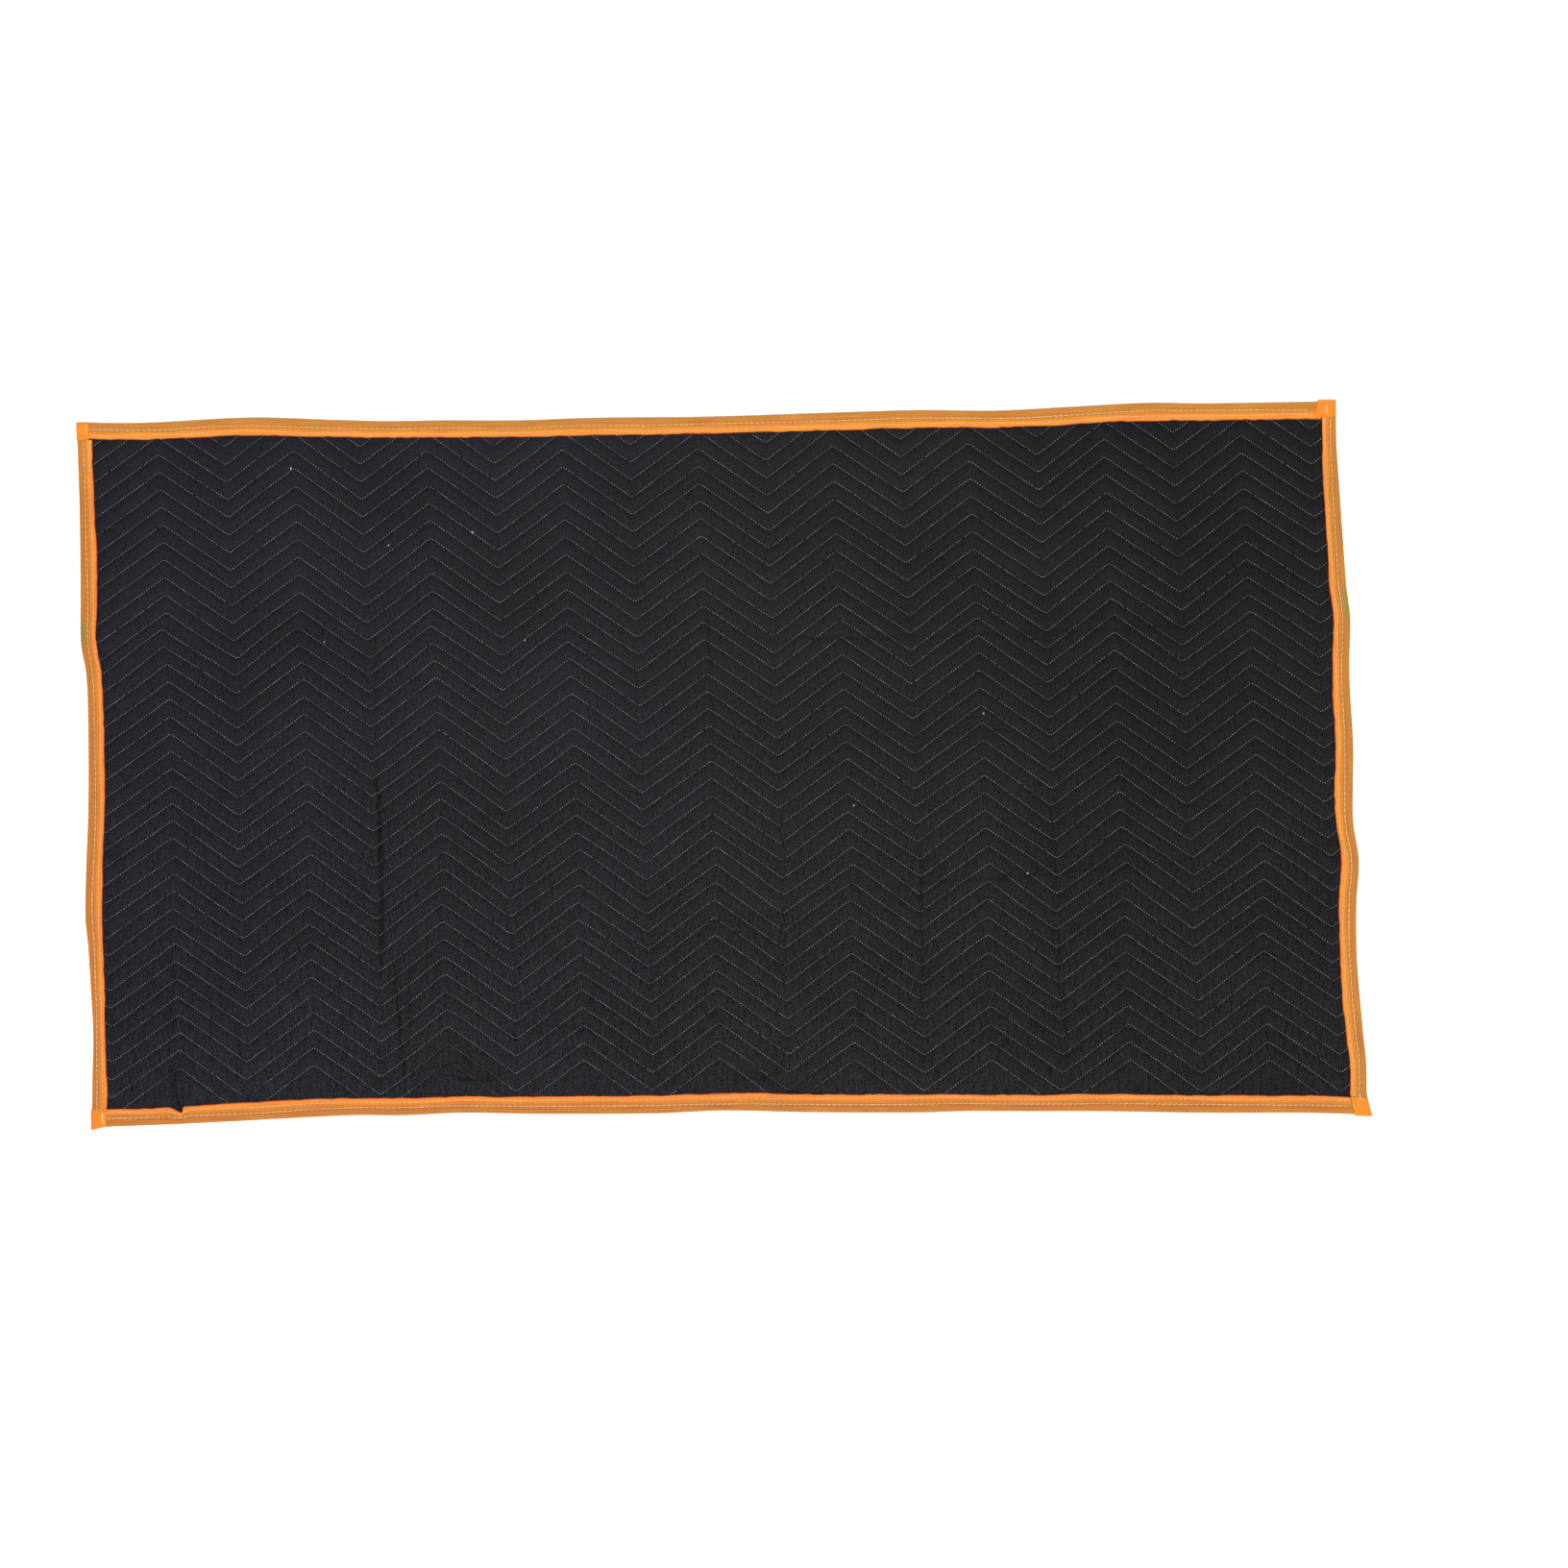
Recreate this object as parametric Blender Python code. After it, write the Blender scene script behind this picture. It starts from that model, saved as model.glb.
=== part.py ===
# Quilted moving pad, lying flat: one padded sheet with raised chevron quilting, and four lengths of
# woven tape folded over its edges. Metres, +Z up, +X along the pad, +Y to its top edge.
import math
from bisect import bisect_right
from collections import namedtuple

import bmesh
import bpy
from mathutils import Vector

# The pad's four corners as it lies, a little out of square
CORNERS = {
    "top_left": Vector((-0.9144, 0.5081)),
    "top_right": Vector((0.8811, 0.5071)),
    "bottom_left": Vector((-0.9104, -0.4969)),
    "bottom_right": Vector((0.9076, -0.5094)),
}

# The pad's cloth before it was pulled out of square: distances along and down it are measured here
CLOTH_LENGTH = 1.810
CLOTH_WIDTH = 1.000

# The outline is straight between stations, which the pad and its tapes share
STATIONS_ALONG = 40
STATIONS_DOWN = 24

# Quilting: rows of zigzag stitching with a puff between each row and the next
ROW_PITCH = 0.02503
FIRST_ROW = 0.0066
ROW_COUNT = 39
HIDDEN_ROWS = 2
CHEVRON_PERIOD = 0.1938
CHEVRON_HEIGHT = 0.0644
FIRST_PEAK_AT_TOP = 0.1186
FIRST_PEAK_AT_BOTTOM = 0.1247
SEAM_HEIGHT = 0.0038
CROWN_HEIGHT = 0.0070
PuffRow = namedtuple("PuffRow", "across rise")
RISING_HALF = [PuffRow(0.0, 0.0), PuffRow(0.18, 0.74), PuffRow(0.5, 1.0)]
PUFF = RISING_HALF + [PuffRow(0.82, 0.74)]

# Binding tape, and the pad's edge pressed flat inside its fold
TAPE_THICKNESS = 0.0010
CLEARANCE = 0.0003
PRESSED_EDGE = 0.0028
PRESSED_BAND = 0.0275
SLOPE_BAND = 0.0400
TAB_RISE = 0.0008
TOP_LEFT_TAB = 0.0262
BOTTOM_LEFT_TAB = 0.0235
BOTTOM_RIGHT_TAB = 0.0169

# Where a tuck of the cloth pushes through the bottom tape: along the edge, and in from it
TUCK_START = 0.1099
TUCK_TIP = 0.1267
TUCK_END = 0.1330
TUCK_DEPTH = 0.0150
TUCK_BACK = 0.0300
TUCK_RISE = 0.0018
TUCK_INSET = 0.0010

# Each edge's wave: how far along it, how far it stands out from the straight line between its
# corners, and how wide the tape's face is there
EdgeRow = namedtuple("EdgeRow", "along out face")
TOP_EDGE = [
    EdgeRow(0.000, 0.0000, 0.0260), EdgeRow(0.055, -0.0019, 0.0247), EdgeRow(0.137, 0.0030, 0.0260),
    EdgeRow(0.200, -0.0019, 0.0255), EdgeRow(0.245, -0.0054, 0.0245), EdgeRow(0.290, -0.0057, 0.0252),
    EdgeRow(0.350, -0.0075, 0.0245), EdgeRow(0.410, -0.0057, 0.0253), EdgeRow(0.500, -0.0067, 0.0246),
    EdgeRow(0.610, -0.0037, 0.0256), EdgeRow(0.670, -0.0025, 0.0260), EdgeRow(0.730, -0.0051, 0.0244),
    EdgeRow(0.790, -0.0014, 0.0256), EdgeRow(0.850, 0.0023, 0.0266), EdgeRow(0.895, 0.0002, 0.0260),
    EdgeRow(1.000, 0.0000, 0.0260),
]
RIGHT_EDGE = [
    EdgeRow(0.000, 0.0000, 0.0220), EdgeRow(0.060, -0.0016, 0.0217), EdgeRow(0.120, -0.0002, 0.0236),
    EdgeRow(0.219, 0.0024, 0.0247), EdgeRow(0.261, 0.0039, 0.0250), EdgeRow(0.305, 0.0072, 0.0251),
    EdgeRow(0.361, 0.0036, 0.0260), EdgeRow(0.402, 0.0024, 0.0256), EdgeRow(0.483, 0.0036, 0.0263),
    EdgeRow(0.543, 0.0004, 0.0262), EdgeRow(0.590, -0.0012, 0.0254), EdgeRow(0.644, 0.0045, 0.0255),
    EdgeRow(0.705, -0.0017, 0.0260), EdgeRow(0.786, -0.0042, 0.0247), EdgeRow(0.887, 0.0001, 0.0260),
    EdgeRow(0.928, 0.0025, 0.0240), EdgeRow(1.000, 0.0000, 0.0245),
]
BOTTOM_EDGE = [
    EdgeRow(0.000, 0.0000, 0.0260), EdgeRow(0.049, -0.0023, 0.0249), EdgeRow(0.109, -0.0062, 0.0258),
    EdgeRow(0.169, -0.0110, 0.0262), EdgeRow(0.207, -0.0132, 0.0254), EdgeRow(0.245, -0.0124, 0.0254),
    EdgeRow(0.290, -0.0151, 0.0235), EdgeRow(0.350, -0.0124, 0.0253), EdgeRow(0.441, -0.0113, 0.0260),
    EdgeRow(0.496, -0.0143, 0.0256), EdgeRow(0.562, -0.0107, 0.0260), EdgeRow(0.652, -0.0086, 0.0258),
    EdgeRow(0.682, -0.0098, 0.0244), EdgeRow(0.727, -0.0089, 0.0233), EdgeRow(0.788, -0.0077, 0.0244),
    EdgeRow(0.878, -0.0037, 0.0252), EdgeRow(0.953, -0.0022, 0.0254), EdgeRow(1.000, 0.0010, 0.0250),
]
LEFT_EDGE = [
    EdgeRow(0.000, 0.0000, 0.0225), EdgeRow(0.110, -0.0014, 0.0225), EdgeRow(0.192, -0.0010, 0.0238),
    EdgeRow(0.254, 0.0001, 0.0240), EdgeRow(0.314, 0.0006, 0.0227), EdgeRow(0.356, -0.0057, 0.0226),
    EdgeRow(0.417, -0.0072, 0.0230), EdgeRow(0.540, -0.0050, 0.0240), EdgeRow(0.642, 0.0007, 0.0240),
    EdgeRow(0.703, 0.0028, 0.0250), EdgeRow(0.744, -0.0003, 0.0227), EdgeRow(0.785, -0.0020, 0.0210),
    EdgeRow(0.865, -0.0048, 0.0178), EdgeRow(0.928, -0.0024, 0.0208), EdgeRow(1.000, 0.0000, 0.0230),
]

# One cut across a tape: its place along the edge, how wide its face is there, how far its fold
# stands outside the edge, how far its outer end leans on, its extra height, and whether it is solid
Cut = namedtuple("Cut", "along face reach lean rise solid", defaults=(0.0, 0.0, 0.0, False))

PAD_COLOUR = (0.016, 0.016, 0.020, 1.0)
TAPE_COLOUR = (0.900, 0.255, 0.045, 1.0)


def clear_scene():
    for obj in list(bpy.data.objects):
        bpy.data.objects.remove(obj, do_unlink=True)


def make_material(name, colour, roughness):
    material = bpy.data.materials.new(name)
    material.use_nodes = True
    shader = material.node_tree.nodes["Principled BSDF"]
    shader.inputs["Base Color"].default_value = colour
    shader.inputs["Roughness"].default_value = roughness
    shader.inputs["Metallic"].default_value = 0.0
    return material


def smooth_value(rows, column, along):
    """A column's value on a smooth curve through its rows."""
    places = [row.along for row in rows]
    values = [getattr(row, column) for row in rows]
    at = min(max(along, places[0]), places[-1])
    k = min(bisect_right(places, at) - 1, len(rows) - 2)
    span = places[k + 1] - places[k]
    step = (at - places[k]) / span

    def slope(i):
        low, high = max(i - 1, 0), min(i + 1, len(rows) - 1)
        return (values[high] - values[low]) / (places[high] - places[low])

    rise = 3 * step ** 2 - 2 * step ** 3
    swing = span * (slope(k) * step * (1 - step) ** 2 - slope(k + 1) * step ** 2 * (1 - step))
    return values[k] * (1 - rise) + values[k + 1] * rise + swing


def wave(edge, share, count):
    """How far an edge stands out at a share of its length, straight between its stations."""
    place = min(max(share, 0.0), 1.0) * count
    station = min(int(place), count - 1)
    near = smooth_value(edge, "out", station / count)
    far = smooth_value(edge, "out", (station + 1) / count)
    return near + (far - near) * (place - station)


def on_ground(along, down, height):
    """Where a point of the cloth lies, from its distances along the cloth and down it."""
    u = along / CLOTH_LENGTH
    v = down / CLOTH_WIDTH
    top = CORNERS["top_left"].lerp(CORNERS["top_right"], u)
    bottom = CORNERS["bottom_left"].lerp(CORNERS["bottom_right"], u)
    spot = top.lerp(bottom, v)
    right = wave(RIGHT_EDGE, v, STATIONS_DOWN) * u
    left = wave(LEFT_EDGE, v, STATIONS_DOWN) * (1 - u)
    up = wave(TOP_EDGE, u, STATIONS_ALONG) * (1 - v)
    below = wave(BOTTOM_EDGE, u, STATIONS_ALONG) * v
    return Vector((spot.x + right - left, spot.y + up - below, height))


def loft(name, rings, material, collection):
    """A closed solid through rings of equally many points, its first and last ring filled."""
    bm = bmesh.new()
    loops = [[bm.verts.new(point) for point in ring] for ring in rings]
    for near, far in zip(loops, loops[1:]):
        for i in range(len(near)):
            j = (i + 1) % len(near)
            bm.faces.new((near[i], near[j], far[j], far[i]))
    bm.faces.new(loops[0][::-1])
    bm.faces.new(loops[-1])
    return finish_mesh(name, bm, material, collection)


def finish_mesh(name, bm, material, collection):
    bmesh.ops.recalc_face_normals(bm, faces=bm.faces)
    mesh = bpy.data.meshes.new(name)
    bm.to_mesh(mesh)
    bm.free()
    mesh.materials.append(material)
    obj = bpy.data.objects.new(name, mesh)
    collection.objects.link(obj)
    return obj


def quilting_rows():
    """Distance down the cloth and height of each row of points, from above the pad's top edge to
    below its bottom edge. The cloth past the last row of stitching has no more seams."""
    puffs = [(row, puff) for row in range(-HIDDEN_ROWS, ROW_COUNT - 1) for puff in PUFF]
    puffs += [(ROW_COUNT - 1, puff) for puff in RISING_HALF]
    rows = []
    for row, puff in puffs:
        down = FIRST_ROW + (row + puff.across) * ROW_PITCH
        rows.append((down, SEAM_HEIGHT + puff.rise * (CROWN_HEIGHT - SEAM_HEIGHT)))
    rows.append((down + CHEVRON_HEIGHT, CROWN_HEIGHT))
    return rows


def quilted_slab(material, collection):
    """The quilted cloth, cut larger than the pad: its rows of points follow the zigzag, and its
    columns run down the zigzag's peaks and valleys."""
    last_column = math.ceil(2 * CLOTH_LENGTH / CHEVRON_PERIOD)
    bm = bmesh.new()
    grid = []
    for down, height in quilting_rows():
        first_peak = FIRST_PEAK_AT_TOP + (FIRST_PEAK_AT_BOTTOM - FIRST_PEAK_AT_TOP) * down / CLOTH_WIDTH
        line = []
        for column in range(-2, last_column + 1):
            zigzag = CHEVRON_HEIGHT * (column % 2 - 0.5)
            along = first_peak + column * CHEVRON_PERIOD / 2
            line.append(bm.verts.new(on_ground(along, down + zigzag, height)))
        grid.append(line)
    for upper, lower in zip(grid, grid[1:]):
        for k in range(len(upper) - 1):
            bm.faces.new((upper[k], lower[k], lower[k + 1], upper[k + 1]))
    rim = grid[0] + [line[-1] for line in grid[1:]] + grid[-1][-2::-1]
    rim += [line[0] for line in grid[-2:0:-1]]
    base = [bm.verts.new((vert.co.x, vert.co.y, -CROWN_HEIGHT)) for vert in rim]
    for k in range(len(rim)):
        n = (k + 1) % len(rim)
        bm.faces.new((rim[k], rim[n], base[n], base[k]))
    bm.faces.new(base)
    return finish_mesh("quilted_pad", bm, material, collection)


def inset_ring(inset, height):
    """A ring of points at one distance inside the pad's edge, anticlockwise from the top left."""
    down = [CLOTH_WIDTH * k / STATIONS_DOWN for k in range(1, STATIONS_DOWN)]
    along = [CLOTH_LENGTH * k / STATIONS_ALONG for k in range(1, STATIONS_ALONG)]
    left, right = inset, CLOTH_LENGTH - inset
    top, bottom = inset, CLOTH_WIDTH - inset
    ring = [(left, y) for y in [top] + down]
    ring += [(x, bottom) for x in [left] + along]
    ring += [(right, y) for y in [bottom] + down[::-1]]
    ring += [(x, top) for x in [right] + along[::-1]]
    return [on_ground(x, y, height) for x, y in ring]


def guide_shape(name, rings, collection):
    """A closed shape that only cuts or joins others."""
    guide = loft(name, rings, make_material(name, PAD_COLOUR, 1.0), collection)
    guide.hide_render = True
    guide.display_type = "WIRE"
    return guide


def pad_envelope(collection):
    """The pad's own outline, flat below, with its edge pressed thin where the tape folds over."""
    edge = TAPE_THICKNESS + CLEARANCE
    rings = [
        inset_ring(PRESSED_BAND + TAPE_THICKNESS, 0.0),
        inset_ring(PRESSED_BAND, edge),
        inset_ring(edge, edge),
        inset_ring(edge, edge + PRESSED_EDGE),
        inset_ring(PRESSED_BAND, edge + PRESSED_EDGE),
        inset_ring(SLOPE_BAND, CROWN_HEIGHT + CLEARANCE),
    ]
    return guide_shape("pad_envelope", rings, collection)


def tuck_fold(collection):
    """A small fold of the cloth caught in the tape's notch."""
    def corner_ring(inset, height):
        back = CLOTH_WIDTH - TUCK_BACK
        tip = CLOTH_WIDTH - TUCK_DEPTH - inset
        places = [(TUCK_START + inset, back), (TUCK_TIP, tip), (TUCK_END - inset, back)]
        return [on_ground(along, down, height) for along, down in places]

    edge_top = TAPE_THICKNESS + CLEARANCE + PRESSED_EDGE
    rings = [
        corner_ring(TUCK_INSET, edge_top - TUCK_INSET),
        corner_ring(2 * TUCK_INSET, edge_top + TUCK_RISE),
    ]
    return guide_shape("tuck_fold", rings, collection)


def quilted_pad(parts, cutters):
    pad = quilted_slab(make_material("black_cloth", PAD_COLOUR, 0.92), parts)
    trim = pad.modifiers.new("trim_to_edge", "BOOLEAN")
    trim.operation = "INTERSECT"
    trim.object = pad_envelope(cutters)
    tuck = pad.modifiers.new("add_tuck", "BOOLEAN")
    tuck.operation = "UNION"
    tuck.object = tuck_fold(cutters)
    return pad


def tape_section(cut):
    """The folded tape's section as distances in from the edge and heights: outside, then inside. In
    a solid cut the inside is drawn out to the tape's mouth."""
    roll = 2 * TAPE_THICKNESS
    height = 2 * (TAPE_THICKNESS + CLEARANCE) + PRESSED_EDGE
    top = height + cut.rise
    outside = [
        (cut.face, 0.0), (roll - cut.reach, 0.0), (-cut.reach, roll),
        (-cut.reach, height - roll), (roll - cut.reach, top), (cut.face, top),
    ]
    if cut.solid:
        return outside + [(cut.face, height * share) for share in (0.8, 0.6, 0.4, 0.2)]
    mouth_top = height - TAPE_THICKNESS
    inside = [(cut.face, mouth_top), (TAPE_THICKNESS, mouth_top)]
    return outside + inside + [(inward, TAPE_THICKNESS) for inward, _ in inside[::-1]]


def run_of_cuts(edge, length, count, start, end, notch=()):
    """Open cuts at the stations between a tape's ends, following its face width and any notch."""
    cuts = list(notch)
    for k in range(1, count):
        along = length * k / count
        in_notch = notch and notch[0].along < along < notch[-1].along
        if start.along < along < end.along and not in_notch:
            cuts.append(Cut(along, smooth_value(edge, "face", k / count)))
    return sorted(cuts, key=lambda cut: cut.along)


def folded_tape(name, place, cuts, collection):
    """A tape folded over one edge, lofted through its cuts. place puts a point on the ground from
    its distance along the edge, its distance in from it and its height."""
    rings = []
    for cut in cuts:
        ring = []
        for inward, height in tape_section(cut):
            lean = cut.lean * (1 - max(inward, 0.0) / cut.face)
            ring.append(place(cut.along + lean, inward, height))
        rings.append(ring)
    return loft(name, rings, make_material(name + "_tape", TAPE_COLOUR, 0.62), collection)


def closed_start(overhang, face, reach=0.0):
    """A tape's closed end at the start of its edge: solid to just outside the pad's corner."""
    return [
        Cut(-overhang, face, reach, rise=TAB_RISE, solid=True),
        Cut(TAPE_THICKNESS - CLEARANCE, face, reach, rise=TAB_RISE, solid=True),
        Cut(TAPE_THICKNESS, face, reach, rise=TAB_RISE),
    ]


def closed_end(length, overhang, face, reach=0.0):
    """The same at the end of its edge."""
    cuts = closed_start(overhang, face, reach)
    return [cut._replace(along=length - cut.along) for cut in reversed(cuts)]


def binding_top(collection):
    """Covers the top left corner and stops at a slant beside the right tape's tab."""
    start = closed_start(0.0014, TOP_LEFT_TAB) + [
        Cut(0.0203, TOP_LEFT_TAB, rise=TAB_RISE),
        Cut(0.0213, 0.0256),
    ]
    end = Cut(CLOTH_LENGTH - 0.0342, 0.0260, lean=0.0076)
    run = run_of_cuts(TOP_EDGE, CLOTH_LENGTH, STATIONS_ALONG, start[-1], end)
    return folded_tape("binding_top", on_ground, start + run + [end], collection)


def binding_right(collection):
    """Covers both right corners: its top end folds over the top tape, its bottom end flares out."""
    def place(along, inward, height):
        return on_ground(CLOTH_LENGTH - inward, along, height)

    start = closed_start(0.0013, 0.0258) + [
        Cut(0.0200, 0.0318, rise=TAB_RISE),
        Cut(0.0262, 0.0330, rise=TAB_RISE),
        Cut(0.0270, 0.0222),
    ]
    end = [Cut(CLOTH_WIDTH - 0.0300, 0.0245)]
    end += closed_end(CLOTH_WIDTH, 0.0030, BOTTOM_RIGHT_TAB, reach=0.0078)
    run = run_of_cuts(RIGHT_EDGE, CLOTH_WIDTH, STATIONS_DOWN, start[-1], end[0])
    return folded_tape("binding_right", place, start + run + end, collection)


def binding_bottom(collection):
    """Runs between the side tapes, with a notch where the cloth's tuck pushes through."""
    def place(along, inward, height):
        return on_ground(along, CLOTH_WIDTH - inward, height)

    start = Cut(BOTTOM_LEFT_TAB + 0.0005, 0.0255)
    end = Cut(CLOTH_LENGTH - 0.0243, 0.0250, lean=0.0066)
    notch = [Cut(TUCK_START, 0.0250), Cut(TUCK_TIP, TUCK_DEPTH), Cut(TUCK_END, 0.0255)]
    run = run_of_cuts(BOTTOM_EDGE, CLOTH_LENGTH, STATIONS_ALONG, start, end, notch)
    return folded_tape("binding_bottom", place, [start] + run + [end], collection)


def binding_left(collection):
    """Starts just below the top tape and covers the bottom left corner."""
    def place(along, inward, height):
        return on_ground(inward, along, height)

    start = Cut(TOP_LEFT_TAB + CLEARANCE, 0.0225)
    end = [
        Cut(CLOTH_WIDTH - 0.0270, 0.0224),
        Cut(CLOTH_WIDTH - 0.0258, BOTTOM_LEFT_TAB, reach=0.0008, rise=TAB_RISE),
    ]
    end += closed_end(CLOTH_WIDTH, 0.0045, BOTTOM_LEFT_TAB)
    run = run_of_cuts(LEFT_EDGE, CLOTH_WIDTH, STATIONS_DOWN, start, end[0])
    return folded_tape("binding_left", place, [start] + run + end, collection)


def centre_on_origin(parts, cutters):
    """Moves the whole pad so that its box is centred over the origin."""
    bpy.context.view_layer.update()
    depsgraph = bpy.context.evaluated_depsgraph_get()
    corners = [Vector(corner) for part in parts.objects for corner in part.evaluated_get(depsgraph).bound_box]
    centre_x = (min(c.x for c in corners) + max(c.x for c in corners)) / 2
    centre_y = (min(c.y for c in corners) + max(c.y for c in corners)) / 2
    for obj in list(parts.objects) + list(cutters.objects):
        obj.location = (-centre_x, -centre_y, 0.0)


def build():
    clear_scene()
    parts = bpy.data.collections.new("moving_pad")
    cutters = bpy.data.collections.new("cutters")
    bpy.context.scene.collection.children.link(parts)
    bpy.context.scene.collection.children.link(cutters)
    quilted_pad(parts, cutters)
    binding_top(parts)
    binding_right(parts)
    binding_bottom(parts)
    binding_left(parts)
    centre_on_origin(parts, cutters)


build()
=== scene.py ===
# Quilted moving pad lying flat on a pale floor: padded black cloth with chevron stitching, orange
# tape folded over its four edges with a tab at each corner, and a few knots of lint.
import math

import bmesh
import bpy
import numpy as np
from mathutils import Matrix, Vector


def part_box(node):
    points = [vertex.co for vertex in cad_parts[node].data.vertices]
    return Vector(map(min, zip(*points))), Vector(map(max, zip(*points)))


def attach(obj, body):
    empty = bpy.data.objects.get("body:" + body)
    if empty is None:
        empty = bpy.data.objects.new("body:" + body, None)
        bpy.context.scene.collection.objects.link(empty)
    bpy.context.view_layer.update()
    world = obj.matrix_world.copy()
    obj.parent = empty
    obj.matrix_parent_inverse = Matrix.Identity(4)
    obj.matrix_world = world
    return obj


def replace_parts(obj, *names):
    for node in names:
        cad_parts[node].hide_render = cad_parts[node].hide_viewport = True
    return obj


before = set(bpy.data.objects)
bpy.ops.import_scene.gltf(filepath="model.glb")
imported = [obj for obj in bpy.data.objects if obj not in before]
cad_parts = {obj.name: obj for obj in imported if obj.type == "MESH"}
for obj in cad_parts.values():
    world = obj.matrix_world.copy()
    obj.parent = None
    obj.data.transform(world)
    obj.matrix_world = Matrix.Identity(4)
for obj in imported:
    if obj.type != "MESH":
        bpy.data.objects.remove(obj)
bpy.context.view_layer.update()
print("frame loaded:", ", ".join(sorted(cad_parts)))


# Camera, floor and light

photoView = {
    "aimAt": (0.0850, -0.0245),     # floor point in the middle, in the pad's own measure
    "frameWidth": 2.2363,           # metres of floor from side to side
    "roll": -1.0,                   # degrees about the upright
    "lens": 85.0,
    "sensor": 36.0,
    "clip": (0.05, 60.0),
}

studio = {
    "surround": 0.80,               # even white light from all round
    "softboxPower": 1070.0,
    "softboxAt": (-0.10, -3.60, 10.40),
    "softboxAim": (0.0, 0.10, 0.0),
    "softboxSize": 3.4,
    "floorTone": 0.95,
    "floorRoughness": 0.9,
    "floorUneven": ((2.0, 2.0, 2.0), 2.0, 0.995, 1.0),
    "floorSize": 14.0,
    "floorDrop": 0.0003,            # the floor lies this far under the pad
}


def newObject(name, data):
    thing = bpy.data.objects.new(name, data)
    bpy.context.scene.collection.objects.link(thing)
    return thing


def setUpCamera():
    lens = bpy.data.cameras.new("photoCamera")
    lens.lens, lens.sensor_width = photoView["lens"], photoView["sensor"]
    lens.clip_start, lens.clip_end = photoView["clip"]
    camera = newObject("photoCamera", lens)
    away = photoView["frameWidth"] * photoView["lens"] / photoView["sensor"]
    aimX, aimY = photoView["aimAt"]
    camera.location = (aimX + centreShift[0], aimY + centreShift[1], away)
    camera.rotation_euler = (0.0, 0.0, math.radians(photoView["roll"]))
    bpy.context.scene.camera = camera


def setUpLight():
    scene = bpy.context.scene
    scene.view_settings.view_transform = "Standard"
    scene.view_settings.look = "None"
    scene.world = bpy.data.worlds.new("studioSurround")
    scene.world.use_nodes = True
    background = scene.world.node_tree.nodes["Background"].inputs
    background["Color"].default_value = (1.0, 1.0, 1.0, 1.0)
    background["Strength"].default_value = studio["surround"]
    lamp = bpy.data.lights.new("softbox", "AREA")
    lamp.shape, lamp.size, lamp.energy = "DISK", studio["softboxSize"], studio["softboxPower"]
    softbox = newObject("softbox", lamp)
    softbox.location = studio["softboxAt"]
    toPad = Vector(studio["softboxAim"]) - Vector(studio["softboxAt"])
    softbox.rotation_euler = toPad.to_track_quat("-Z", "Y").to_euler()
    softbox.visible_camera = False


# Shader helpers: each adds nodes to a tree and returns the output to go on from

def addNode(tree, kind, inputs=None, **settings):
    node = tree.nodes.new(kind)
    for name, value in settings.items():
        setattr(node, name, value)
    for name, value in (inputs or {}).items():
        if hasattr(value, "is_output"):
            tree.links.new(value, node.inputs[name])
        else:
            node.inputs[name].default_value = value
    return node


def mathOf(tree, operation, *values):
    # With more than two values they are taken in turn, as in a sum
    if len(values) == 1:
        return addNode(tree, "ShaderNodeMath", {0: values[0]}, operation=operation).outputs[0]
    result = values[0]
    for value in values[1:]:
        result = addNode(tree, "ShaderNodeMath", {0: result, 1: value}, operation=operation).outputs[0]
    return result


def vectorOf(tree, operation, first, second):
    node = addNode(tree, "ShaderNodeVectorMath", {0: first, 1: second}, operation=operation)
    return node.outputs["Value" if operation in ("DOT_PRODUCT", "DISTANCE") else "Vector"]


def scaleOf(tree, vector, factor):
    return addNode(tree, "ShaderNodeVectorMath", {0: vector, "Scale": factor}, operation="SCALE").outputs[0]


def rangeOf(tree, value, start, end, low=0.0, high=1.0, easing="LINEAR"):
    return addNode(tree, "ShaderNodeMapRange",
                   {"Value": value, "From Min": start, "From Max": end, "To Min": low, "To Max": high},
                   interpolation_type=easing).outputs[0]


def clampOf(tree, value):
    return addNode(tree, "ShaderNodeClamp", {"Value": value}).outputs[0]


def mixOf(tree, share, first, second, blend="MIX"):
    return addNode(tree, "ShaderNodeMix", {0: share, 6: first, 7: second},
                   data_type="RGBA", blend_type=blend).outputs[2]


def rampOf(tree, value, stops):
    node = addNode(tree, "ShaderNodeValToRGB", {"Fac": value})
    elements = node.color_ramp.elements
    for place, tint in stops[1:-1]:
        elements.new(place).color = tint
    elements[0].color, elements[-1].color = stops[0][1], stops[-1][1]
    return node.outputs["Color"]


def bumpOf(tree, height, strength, distance, under=None):
    inputs = {"Height": height, "Strength": strength, "Distance": distance}
    if under is not None:
        inputs["Normal"] = under
    return addNode(tree, "ShaderNodeBump", inputs).outputs[0]


def objectPlace(tree):
    return tree.nodes.new("ShaderNodeTexCoord").outputs["Object"]


def splitOf(tree, vector):
    return addNode(tree, "ShaderNodeSeparateXYZ", {0: vector}).outputs


def useGroup(tree, group, inputs):
    return addNode(tree, "ShaderNodeGroup", inputs, node_tree=group).outputs[0]


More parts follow.
